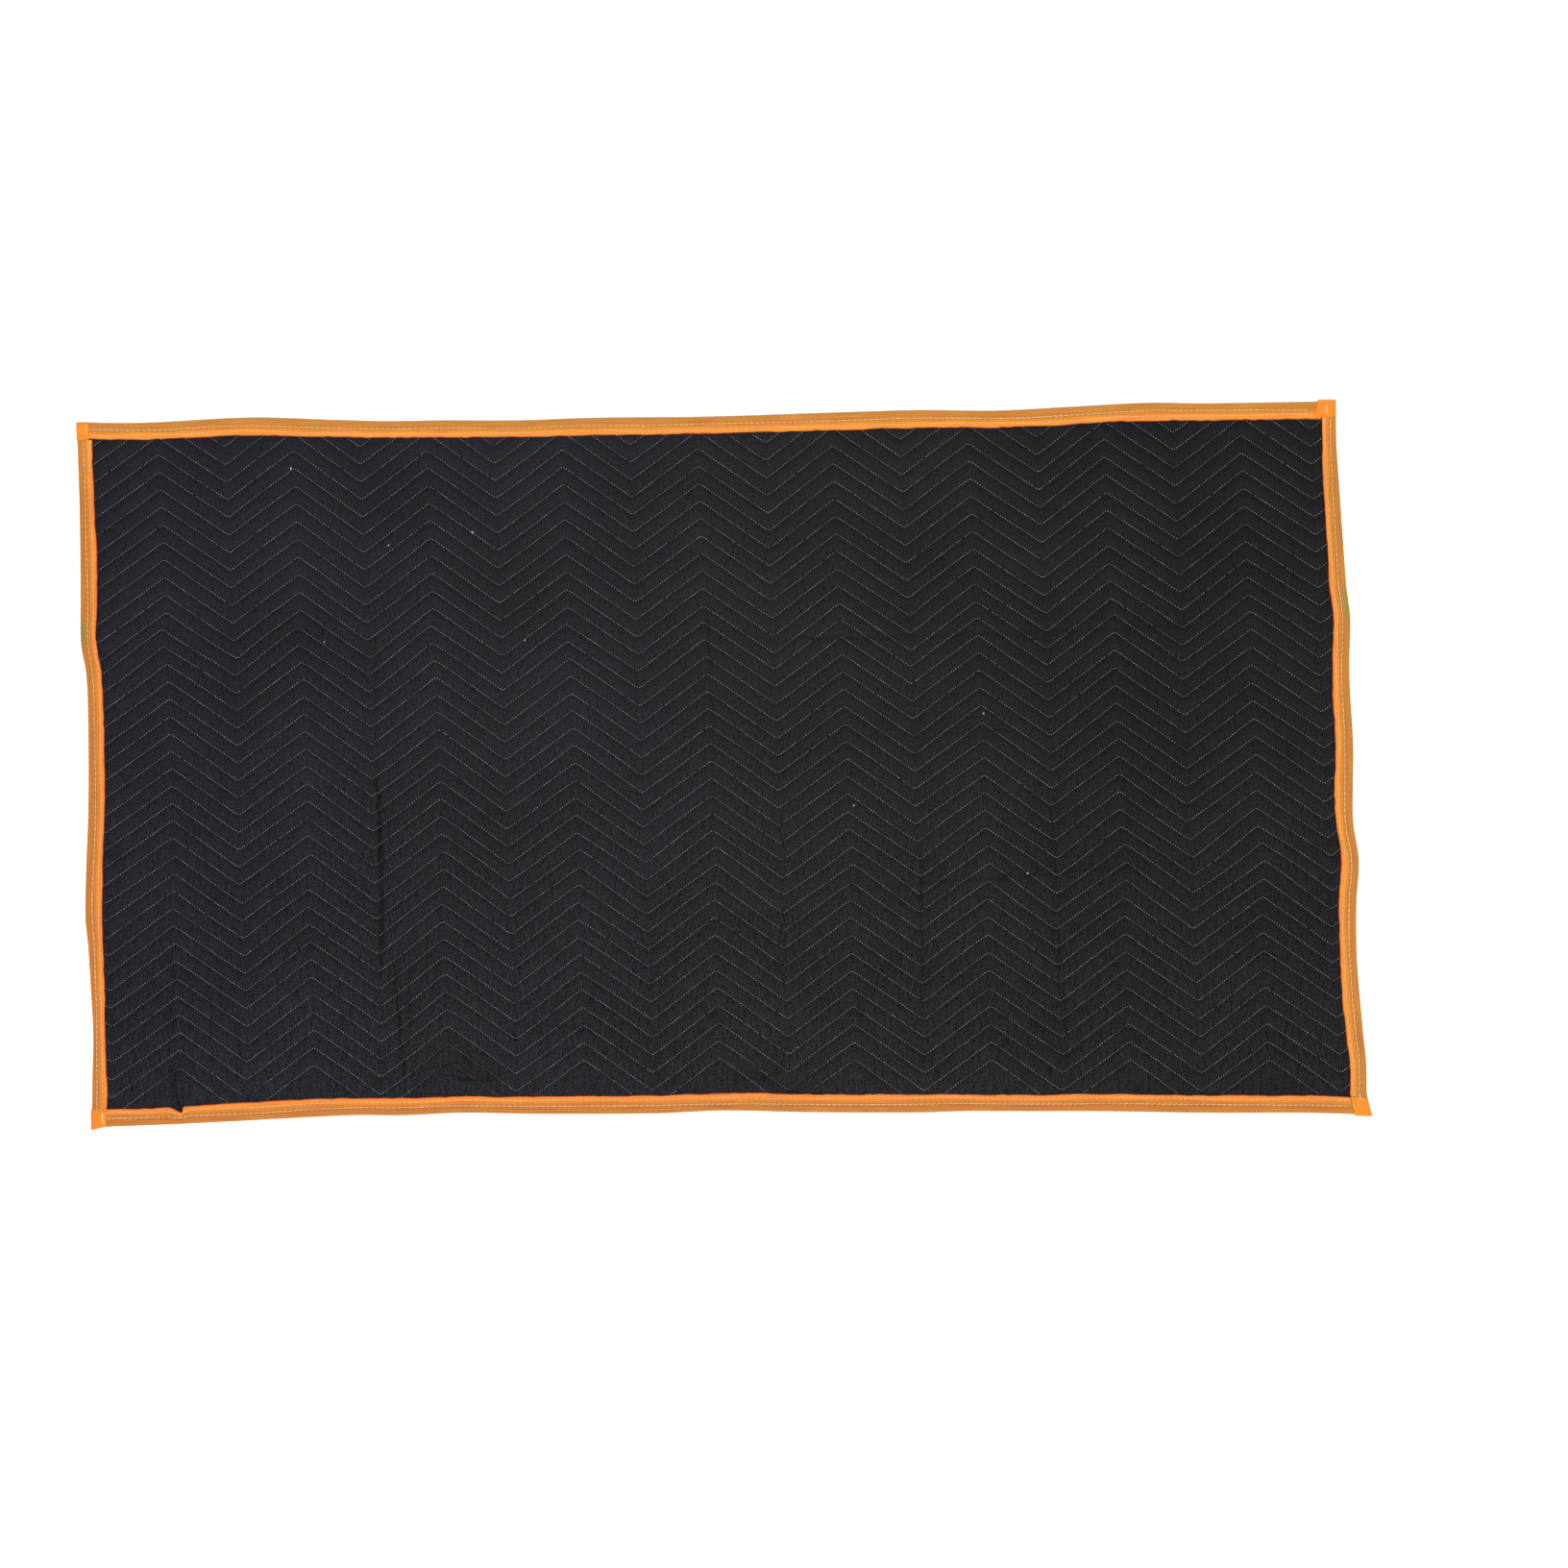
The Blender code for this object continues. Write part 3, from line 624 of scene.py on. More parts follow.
def findCentre():
    # The frame is centred on the origin: compare its cloth's box with this outline's box
    inset, share = padShape["modelInset"], np.linspace(0.0, 1.0, 401)
    along = np.concatenate([share, share, 0 * share, 0 * share + 1]) * padLength
    down = np.concatenate([0 * share, 0 * share + 1, share, share]) * padWidth
    x, y = flatSpot(np.clip(along, inset, padLength - inset), np.clip(down, inset, padWidth - inset))
    low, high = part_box("quilted_pad")
    return (low.x + high.x) / 2 - (x.min() + x.max()) / 2, (low.y + high.y) / 2 - (y.min() + y.max()) / 2


centreShift = findCentre()
setUpCamera()
print("camera set up, pad shifted by %.5f, %.5f" % centreShift)


def onGround(along, down, height):
    x, y = flatSpot(along, down)
    return np.stack(np.broadcast_arrays(x + centreShift[0], y + centreShift[1], height), -1)


def groundSpot(along, down, height):
    return tuple(float(value) for value in onGround(along, down, height))


def softNoise(x, y, seed):
    # Smooth noise from -1 to 1: one seeded lattice of numbers, eased between its points
    lattice = np.random.RandomState(seed).uniform(-1.0, 1.0, (128, 128))
    x, y = np.broadcast_arrays(np.asarray(x, float), np.asarray(y, float))
    column, row = np.floor(x).astype(int), np.floor(y).astype(int)
    fx, fy = x - column, y - row
    fx, fy = fx * fx * (3 - 2 * fx), fy * fy * (3 - 2 * fy)
    a, b = lattice[row % 128, column % 128], lattice[row % 128, (column + 1) % 128]
    c, d = lattice[(row + 1) % 128, column % 128], lattice[(row + 1) % 128, (column + 1) % 128]
    return (a * (1 - fx) + b * fx) * (1 - fy) + (c * (1 - fx) + d * fx) * fy


def ease(x):
    x = np.clip(x, 0.0, 1.0)
    return x * x * (3 - 2 * x)


def makePiece(name, points, faces, materials, sharpAngle=None, corners=None, faceMaterial=None):
    # A mesh piece with outward normals that rides on the pad
    mesh = bpy.data.meshes.new(name)
    mesh.from_pydata(np.asarray(points).tolist(), [], faces)
    if corners is not None:
        layer = mesh.uv_layers.new(name="tapeMap")
        layer.uv.foreach_set("vector", np.asarray(corners, np.float32).ravel())
    for material in materials:
        mesh.materials.append(material)
    if faceMaterial is not None:
        mesh.polygons.foreach_set("material_index", np.asarray(faceMaterial, np.int32))
    mesh.update()
    tidy = bmesh.new()
    tidy.from_mesh(mesh)
    bmesh.ops.recalc_face_normals(tidy, faces=tidy.faces)
    tidy.to_mesh(mesh)
    tidy.free()
    mesh.shade_smooth()
    if sharpAngle is not None:
        mesh.set_sharp_from_angle(angle=math.radians(sharpAngle))
    piece = newObject(name, mesh)
    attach(piece, "root")
    return piece


# Padded cloth: rows of points follow the zigzag of the stitching, so every seam is a crisp valley

quilt = {
    "pitch": 0.02503, "firstRow": 0.0066, "rows": 39,
    "period": 0.1938, "height": 0.0700, "cornerRound": 0.0012,
    "peakAtTop": 0.1186, "peakAtBottom": 0.1247,
    "seamHeight": 0.0036, "crownHeight": 0.0070,
    "pressedHeight": 0.00405,       # under the tape
    "riseFromTape": (0.0004, 0.012, 0.0055),    # starts this far in, over this run, by this much
    # uneven loft between two rows: metres to a wave, steps of noise from row to row, seed, strength
    "unevenLoft": 0.20,
    "loftNoise": [(0.070, 0.83, 11, 0.55), (0.022, 1.7, 12, 0.30)],
    # the rest: metres to a wave along and down, seed, strength as a share or in metres
    "broadLoft": (0.30, 0.24, 13, 0.6),
    "uprightWrinkles": (0.015, 0.11, 14, 0.00060),
    "smallWrinkles": (0.030, 0.022, 15, 0.00040),
    "lie": (0.40, 0.33, 16, 0.0005),
    "lowest": 0.0020,
    # the grid's rows between two seams, the first of all, and the ones below the last seam
    "rowShares": (0.0, 0.09, 0.28, 0.5, 0.72, 0.91),
    "firstPlace": -1.73,
    "lastShares": (0.0, 0.09, 0.28, 0.5, 1.0, 1.5, 2.0, 2.5, 3.0),
    "columnsPerSlope": 14,
    "leftOver": 0.009,              # the even columns end this far short of the right edge
    "packed": (0.014, 0.018),       # how near the ends, and the top and bottom, points are packed
    # places along where more columns are needed for creases: from, to, how many times as many
    "fineBands": [(0.404, 0.428, 4), (0.428, 0.455, 3), (0.888, 0.902, 3), (1.180, 1.195, 3),
                  (1.372, 1.394, 3), (0.110, 0.128, 3), (0.024, 0.038, 2), (0.204, 0.222, 2)],
    "underChannel": 0.0012,
    # the under side lies on the tape's lower layer: how high, how far in from the edge, over what run
    "onTape": (0.00138, 0.0290, 0.0022),
    # The rows were sewn in three passes of thirteen. Millimetres that each pass slipped along and
    # down the cloth, at its first, middle and last row, evenly spaced from the left end to the right
    "slipRows": (0, 6, 12, 13, 19, 25, 26, 32, 38),
    "slipAlong": [
        (-7.3, -4.2, -2.9, -4.1, -4.3, -2.8, -1.2, -2.2, -1.1, 0.7, 1.7, 4.5, 7.7),
        (-2.1, -1.2, -1.5, -4.1, -5.3, -4.3, -3.4, -4.4, -2.4, -1.2, -1.3, 1.6, 4.5),
        (3.2, 2.5, 0.8, -3.1, -5.6, -6.1, -6.0, -6.1, -3.9, -4.0, -5.4, -3.3, 0.3),
        (-4.6, -3.3, -4.1, -7.9, -9.9, -9.2, -7.4, -6.5, -5.3, -3.7, -4.1, -3.1, -1.0),
        (-2.7, -3.4, -4.4, -7.0, -9.1, -7.9, -7.2, -6.6, -4.7, -3.1, -4.7, -2.8, 0.2),
        (-1.1, -0.4, 0.1, -2.4, -4.3, -3.4, -3.7, -3.3, -1.0, -0.7, -1.8, -0.3, 2.0),
        (3.3, 4.8, 4.1, 0.3, -1.5, -1.3, -1.1, -0.5, 0.0, -0.1, 0.0, 1.5, 4.8),
        (0.3, 0.4, -0.7, -3.8, -4.8, -3.7, -3.9, -4.4, -2.8, -1.4, 0.6, 3.1, 4.6),
        (0.8, -0.6, -3.4, -5.6, -6.8, -7.2, -8.2, -10.0, -9.8, -8.4, -5.8, -3.2, 0.4),
    ],
    "slipDown": [
        (-2.8, -0.5, -1.2, -4.6, -4.7, -2.2, -1.6, -0.6, -0.1, -1.2, 1.4, -1.2, -4.1),
        (-4.2, -0.6, 0.5, -2.7, -3.9, -2.3, -0.9, 0.8, 1.0, -1.6, 2.3, -1.8, -6.1),
        (-5.1, -0.3, 1.8, -0.7, -2.4, -1.6, -0.1, 0.3, 0.4, -0.6, 1.4, -1.9, -7.1),
        (-7.4, -1.5, 1.5, -1.2, -2.2, -2.1, -1.8, -2.3, -2.0, -2.3, -1.2, -4.0, -8.7),
        (-7.7, -2.6, 0.4, -1.5, -2.9, -3.3, -2.1, -3.3, -2.7, -2.3, -0.5, -3.0, -6.4),
        (-9.1, -4.9, -0.9, -1.1, -2.4, -3.4, -1.9, -3.1, -3.0, -2.9, -1.4, -2.2, -4.6),
        (-10.2, -3.0, 1.1, -0.2, -1.8, -3.9, -3.2, -2.8, -3.0, -2.3, -1.7, -3.4, -6.2),
        (-11.6, -4.3, 0.8, 1.1, -0.4, -3.3, -1.1, -1.3, -0.7, 0.4, 0.2, -1.4, -4.5),
        (-8.4, -2.2, 2.1, 2.8, 0.1, -1.4, 0.9, 0.7, 2.2, 3.8, 2.6, 1.9, 1.3),
    ],
}

# Folds and creases: points along and down the cloth, half width, depth, and the ridge beside it
creases = [
    ([(0.413, 0.502), (0.418, 0.571), (0.421, 0.640), (0.421, 0.709), (0.414, 0.779),
      (0.420, 0.820)], 0.0026, 0.0042, 0.4),
    ([(0.421, 0.253), (0.415, 0.364), (0.413, 0.502)], 0.0034, 0.0014, 0.5),
    ([(0.434, 0.765), (0.437, 0.834), (0.441, 0.917), (0.447, 0.983)], 0.0026, 0.0030, 0.5),
    ([(0.459, 0.807), (0.454, 0.848), (0.450, 0.883)], 0.0026, 0.0037, 0.5),
    ([(0.360, 0.590), (0.386, 0.615), (0.412, 0.640)], 0.0043, 0.0017, 0.6),
    ([(0.362, 0.640), (0.388, 0.664), (0.414, 0.690)], 0.0043, 0.0015, 0.6),
    ([(0.893, 0.286), (0.895, 0.328), (0.896, 0.377)], 0.0026, 0.0028, -0.9),
    ([(0.896, 0.370), (0.893, 0.508), (0.895, 0.619)], 0.0034, 0.0015, -0.6),
    ([(0.994, 0.412), (0.993, 0.646), (0.987, 0.909)], 0.0038, 0.0012, -0.5),
    ([(1.189, 0.593), (1.189, 0.730), (1.187, 0.826), (1.180, 0.922)], 0.0034, 0.0020, -0.9),
    ([(1.374, 0.527), (1.376, 0.650), (1.383, 0.787), (1.384, 0.896), (1.390, 0.989)], 0.0034, 0.0022, -0.8),
    ([(1.580, 0.624), (1.583, 0.787), (1.575, 0.963)], 0.0038, -0.0014, 0.0),
    ([(0.030, 0.636), (0.032, 0.766), (0.031, 0.861), (0.035, 0.957)], 0.0043, 0.0020, 0.6),
    ([(0.122, 0.734), (0.114, 0.823), (0.114, 0.905), (0.121, 0.971)], 0.0036, 0.0031, 0.7),
    ([(0.202, 0.855), (0.210, 0.924), (0.222, 0.979)], 0.0036, 0.0022, 0.6),
    ([(0.606, 0.378), (0.605, 0.503), (0.607, 0.628)], 0.0038, 0.0008, 0.4),
    ([(0.953, 0.325), (1.118, 0.321), (1.282, 0.317), (1.419, 0.317), (1.543, 0.316),
      (1.652, 0.313)], 0.0047, 0.0024, 0.8),
    ([(1.110, 0.680), (1.245, 0.669), (1.354, 0.656), (1.532, 0.649)], 0.0047, 0.0022, 0.8),
    ([(0.603, 0.663), (0.727, 0.679), (0.850, 0.690)], 0.0043, 0.0017, 0.4),
    ([(0.098, 0.676), (0.235, 0.684), (0.358, 0.685)], 0.0043, 0.0012, 0.4),
    ([(1.229, 0.460), (1.339, 0.456)], 0.0043, 0.0017, 0.8),
    ([(1.709, 0.625), (1.788, 0.619)], 0.0051, 0.0024, 0.8),
    ([(0.580, 0.867), (0.662, 0.873), (0.744, 0.881)], 0.0047, 0.0019, 0.5),
    ([(0.028, 0.632), (0.055, 0.605), (0.084, 0.573)], 0.0051, 0.0024, 0.6),
    ([(0.672, 0.462), (0.768, 0.469), (0.864, 0.474)], 0.0051, 0.0008, 0.5),
    ([(0.470, 0.935), (0.511, 0.915), (0.552, 0.920)], 0.0043, 0.0027, 0.8),
    ([(0.511, 0.948), (0.552, 0.937), (0.593, 0.950)], 0.0043, 0.0024, 0.7),
    ([(0.559, 0.931), (0.571, 0.948), (0.579, 0.973)], 0.0038, 0.0027, 0.6),
]


def zigzag(along, rowDown):
    # How far a row of stitching runs below its own middle: peaks towards the top, valleys below
    firstPeak = quilt["peakAtTop"] + (quilt["peakAtBottom"] - quilt["peakAtTop"]) * rowDown / padWidth
    turns = (along - firstPeak) / quilt["period"]
    half = quilt["period"] / 2
    away = np.abs(turns - np.round(turns)) * quilt["period"]
    bend = quilt["cornerRound"]
    away = away + (np.hypot(away, bend) - away) - (np.hypot(half - away, bend) - (half - away))
    return quilt["height"] * (away / half - 0.5)


def slipOf(table, along, rowPlace):
    # How far the sewing slipped at many places, in metres
    values, rows = np.array(quilt[table]) / 1000, np.array(quilt["slipRows"], float)
    columns = np.clip(along / padLength, 0.0, 1.0 - 1e-9) * (values.shape[1] - 1)
    place = np.clip(rowPlace, rows[0], rows[-1] - 1e-9)
    i = np.clip(np.searchsorted(rows, place, side="right") - 1, 0, len(rows) - 2)
    fy = (place - rows[i]) / (rows[i + 1] - rows[i])
    j = columns.astype(int)
    fx = columns - j
    near = values[i, j] * (1 - fx) + values[i, j + 1] * fx
    far = values[i + 1, j] * (1 - fx) + values[i + 1, j + 1] * fx
    return near * (1 - fy) + far * fy


def seamLine(plainAlong, rowPlace):
    # Where a point of the evenly drawn zigzag really lies on the cloth
    plainAlong, rowPlace = np.broadcast_arrays(plainAlong, rowPlace)
    rowDown = quilt["firstRow"] + rowPlace * quilt["pitch"]
    down = rowDown + zigzag(plainAlong, rowDown) + slipOf("slipDown", plainAlong, rowPlace)
    return plainAlong + slipOf("slipAlong", plainAlong, rowPlace), down


def creaseRelief(along, down):
    relief = np.zeros(np.broadcast(along, down).shape)
    for path, halfWidth, depth, ridge in creases:
        path = np.array(path)
        steps = np.linalg.norm(np.diff(path, axis=0), axis=1)
        before = np.concatenate([[0.0], np.cumsum(steps)])
        nearest, signed, share = relief * 0 + 1e9, relief * 0, relief * 0
        for start, end, size, passed in zip(path, path[1:], steps, before):
            ahead = (end - start) / size
            fromX, fromY = along - start[0], down - start[1]
            run = np.clip(fromX * ahead[0] + fromY * ahead[1], 0.0, size)
            offX, offY = fromX - run * ahead[0], fromY - run * ahead[1]
            distance = np.hypot(offX, offY)
            closer = distance < nearest
            nearest = np.where(closer, distance, nearest)
            signed = np.where(closer, offX * ahead[1] - offY * ahead[0], signed)
            share = np.where(closer, (passed + run) / before[-1], share)
        fade = ease(share * 4) * ease((1 - share) * 4)
        trough = np.exp(-(nearest / halfWidth) ** 2)
        # the ridge lies beside the trough, on the side that its sign says
        side = np.sign(ridge) if ridge else 1.0
        bank = np.exp(-((signed * side - 1.9 * halfWidth) / (1.3 * halfWidth)) ** 2)
        bank *= np.exp(-(np.maximum(nearest - np.abs(signed), 0.0) / halfWidth) ** 2)
        relief += depth * fade * (abs(ridge) * 0.6 * bank - trough)
    return relief


def besideTape(along, down):
    # How far a point of the cloth is in from the nearest tape's inner edge
    u, v = along / padLength, down / padWidth
    gaps = [down - smoothCurve("top", 2, u), padWidth - down - smoothCurve("bottom", 2, u),
            along - smoothCurve("left", 2, v), padLength - along - smoothCurve("right", 2, v)]
    return np.minimum.reduce(gaps)


def puffShare(rowPlace):
    # 0 on a seam, 1 on the crown between two; the cloth past the last row has no seam
    share = rowPlace - np.floor(rowPlace)
    puff = np.sin(math.pi * share) ** 0.8
    return np.where(rowPlace > quilt["rows"] - 0.5, 1.0, puff)

def quiltNoise(name, along, down):
    alongSize, downSize, seed, strength = quilt[name]
    return strength * softNoise(along / alongSize, down / downSize, seed)


def clothTop(along, down, rowPlace):
    puff = puffShare(rowPlace)
    loft = quiltNoise("broadLoft", along, down)
    for size, step, seed, strength in quilt["loftNoise"]:
        loft = loft + strength * softNoise(along / size, np.floor(rowPlace) * step, seed)
    rise = (quilt["crownHeight"] - quilt["seamHeight"]) * (1 + quilt["unevenLoft"] * loft)
    height = quilt["seamHeight"] + rise * puff + creaseRelief(along, down) + quiltNoise("lie", along, down)
    lowHalf = 0.5 + 0.5 * ease(down / padWidth)
    height = height + quiltNoise("uprightWrinkles", along, down) * lowHalf * (0.35 + 0.65 * puff)
    height = height + quiltNoise("smallWrinkles", along, down) * (0.3 + 0.7 * puff)
    height = np.maximum(height, quilt["lowest"])
    start, run, rise = quilt["riseFromTape"]
    return np.minimum(height, quilt["pressedHeight"] + rise * ease((besideTape(along, down) - start) / run))


def insetOf(along, down):
    # How far a place is in from the nearest edge of the cloth
    return np.minimum.reduce([along, padLength - along, down, padWidth - down])


def clothUnder(along, down, rowPlace):
    high, reach, run = quilt["onTape"]
    lift = high * ease((reach - insetOf(along, down)) / run)
    return np.maximum(quilt["underChannel"] * (1 - puffShare(rowPlace)), lift)


def gridRows():
    # Places of the grid's rows, counted in rows of stitching; every seam has an even number
    last = quilt["rows"] - 1
    places = [row + share for row in range(-2, last) for share in quilt["rowShares"]]
    places = [place for place in places if place >= quilt["firstPlace"]]
    return np.array(places + [last + share for share in quilt["lastShares"]], float)


def gridColumns():
    step = quilt["period"] / 2 / quilt["columnsPerSlope"]
    count = int((padLength - quilt["leftOver"] - quilt["peakAtTop"]) / step)
    places = [quilt["peakAtTop"] + k * step for k in range(-quilt["columnsPerSlope"] - 1, count + 1)]
    for low, high, times in quilt["fineBands"]:
        gaps = [(a, b) for a, b in zip(places, places[1:]) if b > low and a < high and b - a > 0.9 * step]
        places = sorted(places + [a + (b - a) * k / times for a, b in gaps for k in range(1, times)])
    if len(places) % 2 == 0:
        places.pop()
    return np.array([0.0] + places + [padLength])


def squeezeUnderTape(lines, size, hidden):
    # Points that would run off the cloth are packed evenly under the tape instead
    inset = padShape["edgeInset"]
    count = lines.shape[0]
    for line in lines.T:
        first = max(1, int(np.argmax(line >= hidden)))
        line[:first] = inset + (line[first] - inset) * np.arange(first) / first
        last = min(count - 2, int(count - 1 - np.argmax(line[::-1] <= size - hidden)))
        after = count - 1 - last
        line[last + 1:] = line[last] + (size - inset - line[last]) * np.arange(1, after + 1) / after
    return lines


def clothGrid():
    rows, columns = gridRows()[:, None], gridColumns()[None, :]
    rowDown = quilt["firstRow"] + rows * quilt["pitch"]
    drift = (quilt["peakAtBottom"] - quilt["peakAtTop"]) * rowDown / padWidth
    along, down = seamLine(columns + drift, rows + 0 * drift)
    along = squeezeUnderTape(along.T.copy(), padLength, quilt["packed"][0]).T
    down = squeezeUnderTape(down.copy(), padWidth, quilt["packed"][1])
    return along, down, np.broadcast_to(rows, along.shape)


def gridFaces(rowCount, columnCount, first):
    corner = first + np.arange((rowCount - 1))[:, None] * columnCount + np.arange(columnCount - 1)[None, :]
    quads = np.stack([corner, corner + columnCount, corner + columnCount + 1, corner + 1], -1)
    return quads.reshape(-1, 4)


def rimOf(rowCount, columnCount, first):
    index = first + np.arange(rowCount * columnCount).reshape(rowCount, columnCount)
    return np.concatenate([index[0, :-1], index[:-1, -1], index[-1, :0:-1], index[:0:-1, 0]])


def makePaddedCloth(material):
    along, down, rowPlace = clothGrid()
    top = onGround(along, down, clothTop(along, down, rowPlace))
    coarse = (slice(None, None, 2), slice(None, None, 2))
    under = onGround(along[coarse], down[coarse], clothUnder(along[coarse], down[coarse], rowPlace[coarse]))
    rowCount, columnCount = along.shape
    underRows, underColumns = under.shape[:2]
    first = rowCount * columnCount
    faces = gridFaces(rowCount, columnCount, 0).tolist()
    faces += gridFaces(underRows, underColumns, first)[:, ::-1].tolist()
    upperRim, lowerRim = rimOf(rowCount, columnCount, 0), rimOf(underRows, underColumns, first)
    for i in range(len(lowerRim)):
        a, b, c = upperRim[2 * i], upperRim[2 * i + 1], upperRim[(2 * i + 2) % len(upperRim)]
        d, e = lowerRim[i], lowerRim[(i + 1) % len(lowerRim)]
        faces += [(a, b, d), (b, e, d), (b, c, e)]
    points = np.concatenate([top.reshape(-1, 3), under.reshape(-1, 3)])
    print("padded cloth: %d x %d points on top, %d faces" % (rowCount, columnCount, len(faces)))
    piece = makePiece("paddedCloth", points, faces, [material])
    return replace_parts(piece, "quilted_pad")


clothMaterial = makeClothMaterial()
paddedCloth = makePaddedCloth(clothMaterial)


# Stitches: each is a short spindle of thread whose two ends dive into the cloth

def spindles(starts, ends, radii, lifts, sides, flatten, rings=((0.5, 1.0),)):
    # Rings are (share of the way along, share of full thickness and lift)
    ahead = ends - starts
    ahead = ahead / np.linalg.norm(ahead, axis=1)[:, None]
    sideways = np.cross(ahead, np.array([0.0, 0.0, 1.0]))
    sideways = sideways / np.linalg.norm(sideways, axis=1)[:, None]
    upward = np.cross(sideways, ahead)
    points = [starts]
    for place, full in rings:
        middle = starts + (ends - starts) * place
        middle[:, 2] += lifts * full
        for k in range(sides):
            turn = 2 * math.pi * (k + 0.5) / sides
            out = sideways * math.cos(turn) + upward * math.sin(turn) * flatten
            points.append(middle + out * radii[:, None] * full)
    points.append(ends)
    points = np.stack(points, 1)
    each = sides * len(rings) + 2
    side = np.arange(sides)
    following = (side + 1) % sides
    faces = [np.stack([0 * side, 1 + following, 1 + side], -1),
             np.stack([0 * side + each - 1, each - 1 - sides + side, each - 1 - sides + following], -1)]
    for r in range(len(rings) - 1):
        near, far = 1 + r * sides, 1 + (r + 1) * sides
        faces += [np.stack([near + side, near + following, far + side], -1),
                  np.stack([near + following, far + following, far + side], -1)]
    faces = np.arange(len(starts))[:, None, None] * each + np.concatenate(faces)[None]
    return points.reshape(-1, 3), faces.reshape(-1, 3)


chevronThread = {
    "stitch": 0.0040,               # from one needle hole to the next
    "length": 0.0034,
    "lengthVaries": (0.88, 1.10),
    "radius": 0.00040,
    "radiusVaries": (0.75, 1.15),
    "flatten": 0.75,
    "stand": 0.00034,               # how far a stitch's middle stands over the seam
    "dive": 0.00016,
    "waver": 0.0003,
    "missing": 0.012,               # share of the stitches that can't be seen
    "hideUnderTape": 0.016,
    # places along and down the cloth where the thread has sunk in and barely shows, and how wide
    "sunk": [(0.500, 0.930, 0.045), (0.560, 0.945, 0.030), (0.390, 0.640, 0.020), (0.110, 0.930, 0.022),
             (1.010, 0.960, 0.030), (0.230, 0.960, 0.025)],
}


def stitchRow(row, surface, outward, stream):
    # Both ends of every stitch of one zigzag row, and its thickness
    thread = chevronThread
    fine, down = seamLine(np.arange(-0.004, padLength + 0.004, 0.0005), float(row))
    down = down + thread["waver"] * softNoise(fine / 0.05, row * 1.3 + 0 * fine, 21)
    travelled = np.concatenate([[0.0], np.cumsum(np.hypot(np.diff(fine), np.diff(down)))])
    middles = np.arange(stream.uniform(0.0, thread["stitch"]), travelled[-1], thread["stitch"])
    half = thread["length"] / 2 * stream.uniform(*thread["lengthVaries"], len(middles))
    radius = thread["radius"] * stream.uniform(*thread["radiusVaries"], len(middles))
    shows = stream.uniform(0.0, 1.0, len(middles)) > thread["missing"]
    middleAlong, middleDown = np.interp(middles, travelled, fine), np.interp(middles, travelled, down)
    shows &= insetOf(middleAlong, middleDown) > thread["hideUnderTape"]
    for sunkAlong, sunkDown, reach in thread["sunk"]:
        away = np.hypot(middleAlong - sunkAlong, middleDown - sunkDown) / reach
        radius = radius * (0.35 + 0.65 * ease(away - 0.3))
    ends = []
    for at in (middles - half, middles + half):
        endAlong, endDown = np.interp(at, travelled, fine), np.interp(at, travelled, down)
        height = surface(endAlong, endDown, 0 * at + row) - outward * thread["dive"]
        ends.append(onGround(endAlong, endDown, height)[shows])
    return (*ends, radius[shows])


def makeChevronStitches(name, material, surface, outward, sides, seed):
    stream = np.random.RandomState(seed)
    rows = [stitchRow(row, surface, outward, stream) for row in range(quilt["rows"])]
    starts, ends, radii = (np.concatenate(group) for group in zip(*rows))
    lifts = np.full(len(starts), outward * (chevronThread["stand"] + chevronThread["dive"]))
    points, faces = spindles(starts, ends, radii, lifts, sides, chevronThread["flatten"])
    print("%s: %d stitches" % (name, len(starts)))
    return makePiece(name, points, faces.tolist(), [material])


quiltThreadMaterial = makeThreadMaterial("greyThread")
chevronStitches = makeChevronStitches("chevronStitches", quiltThreadMaterial, clothTop, 1.0, 4, 31)
underStitches = makeChevronStitches("underStitches", quiltThreadMaterial, clothUnder, -1.0, 3, 32)


# Orange tape, folded over each edge and sewn through with two rows of stitching

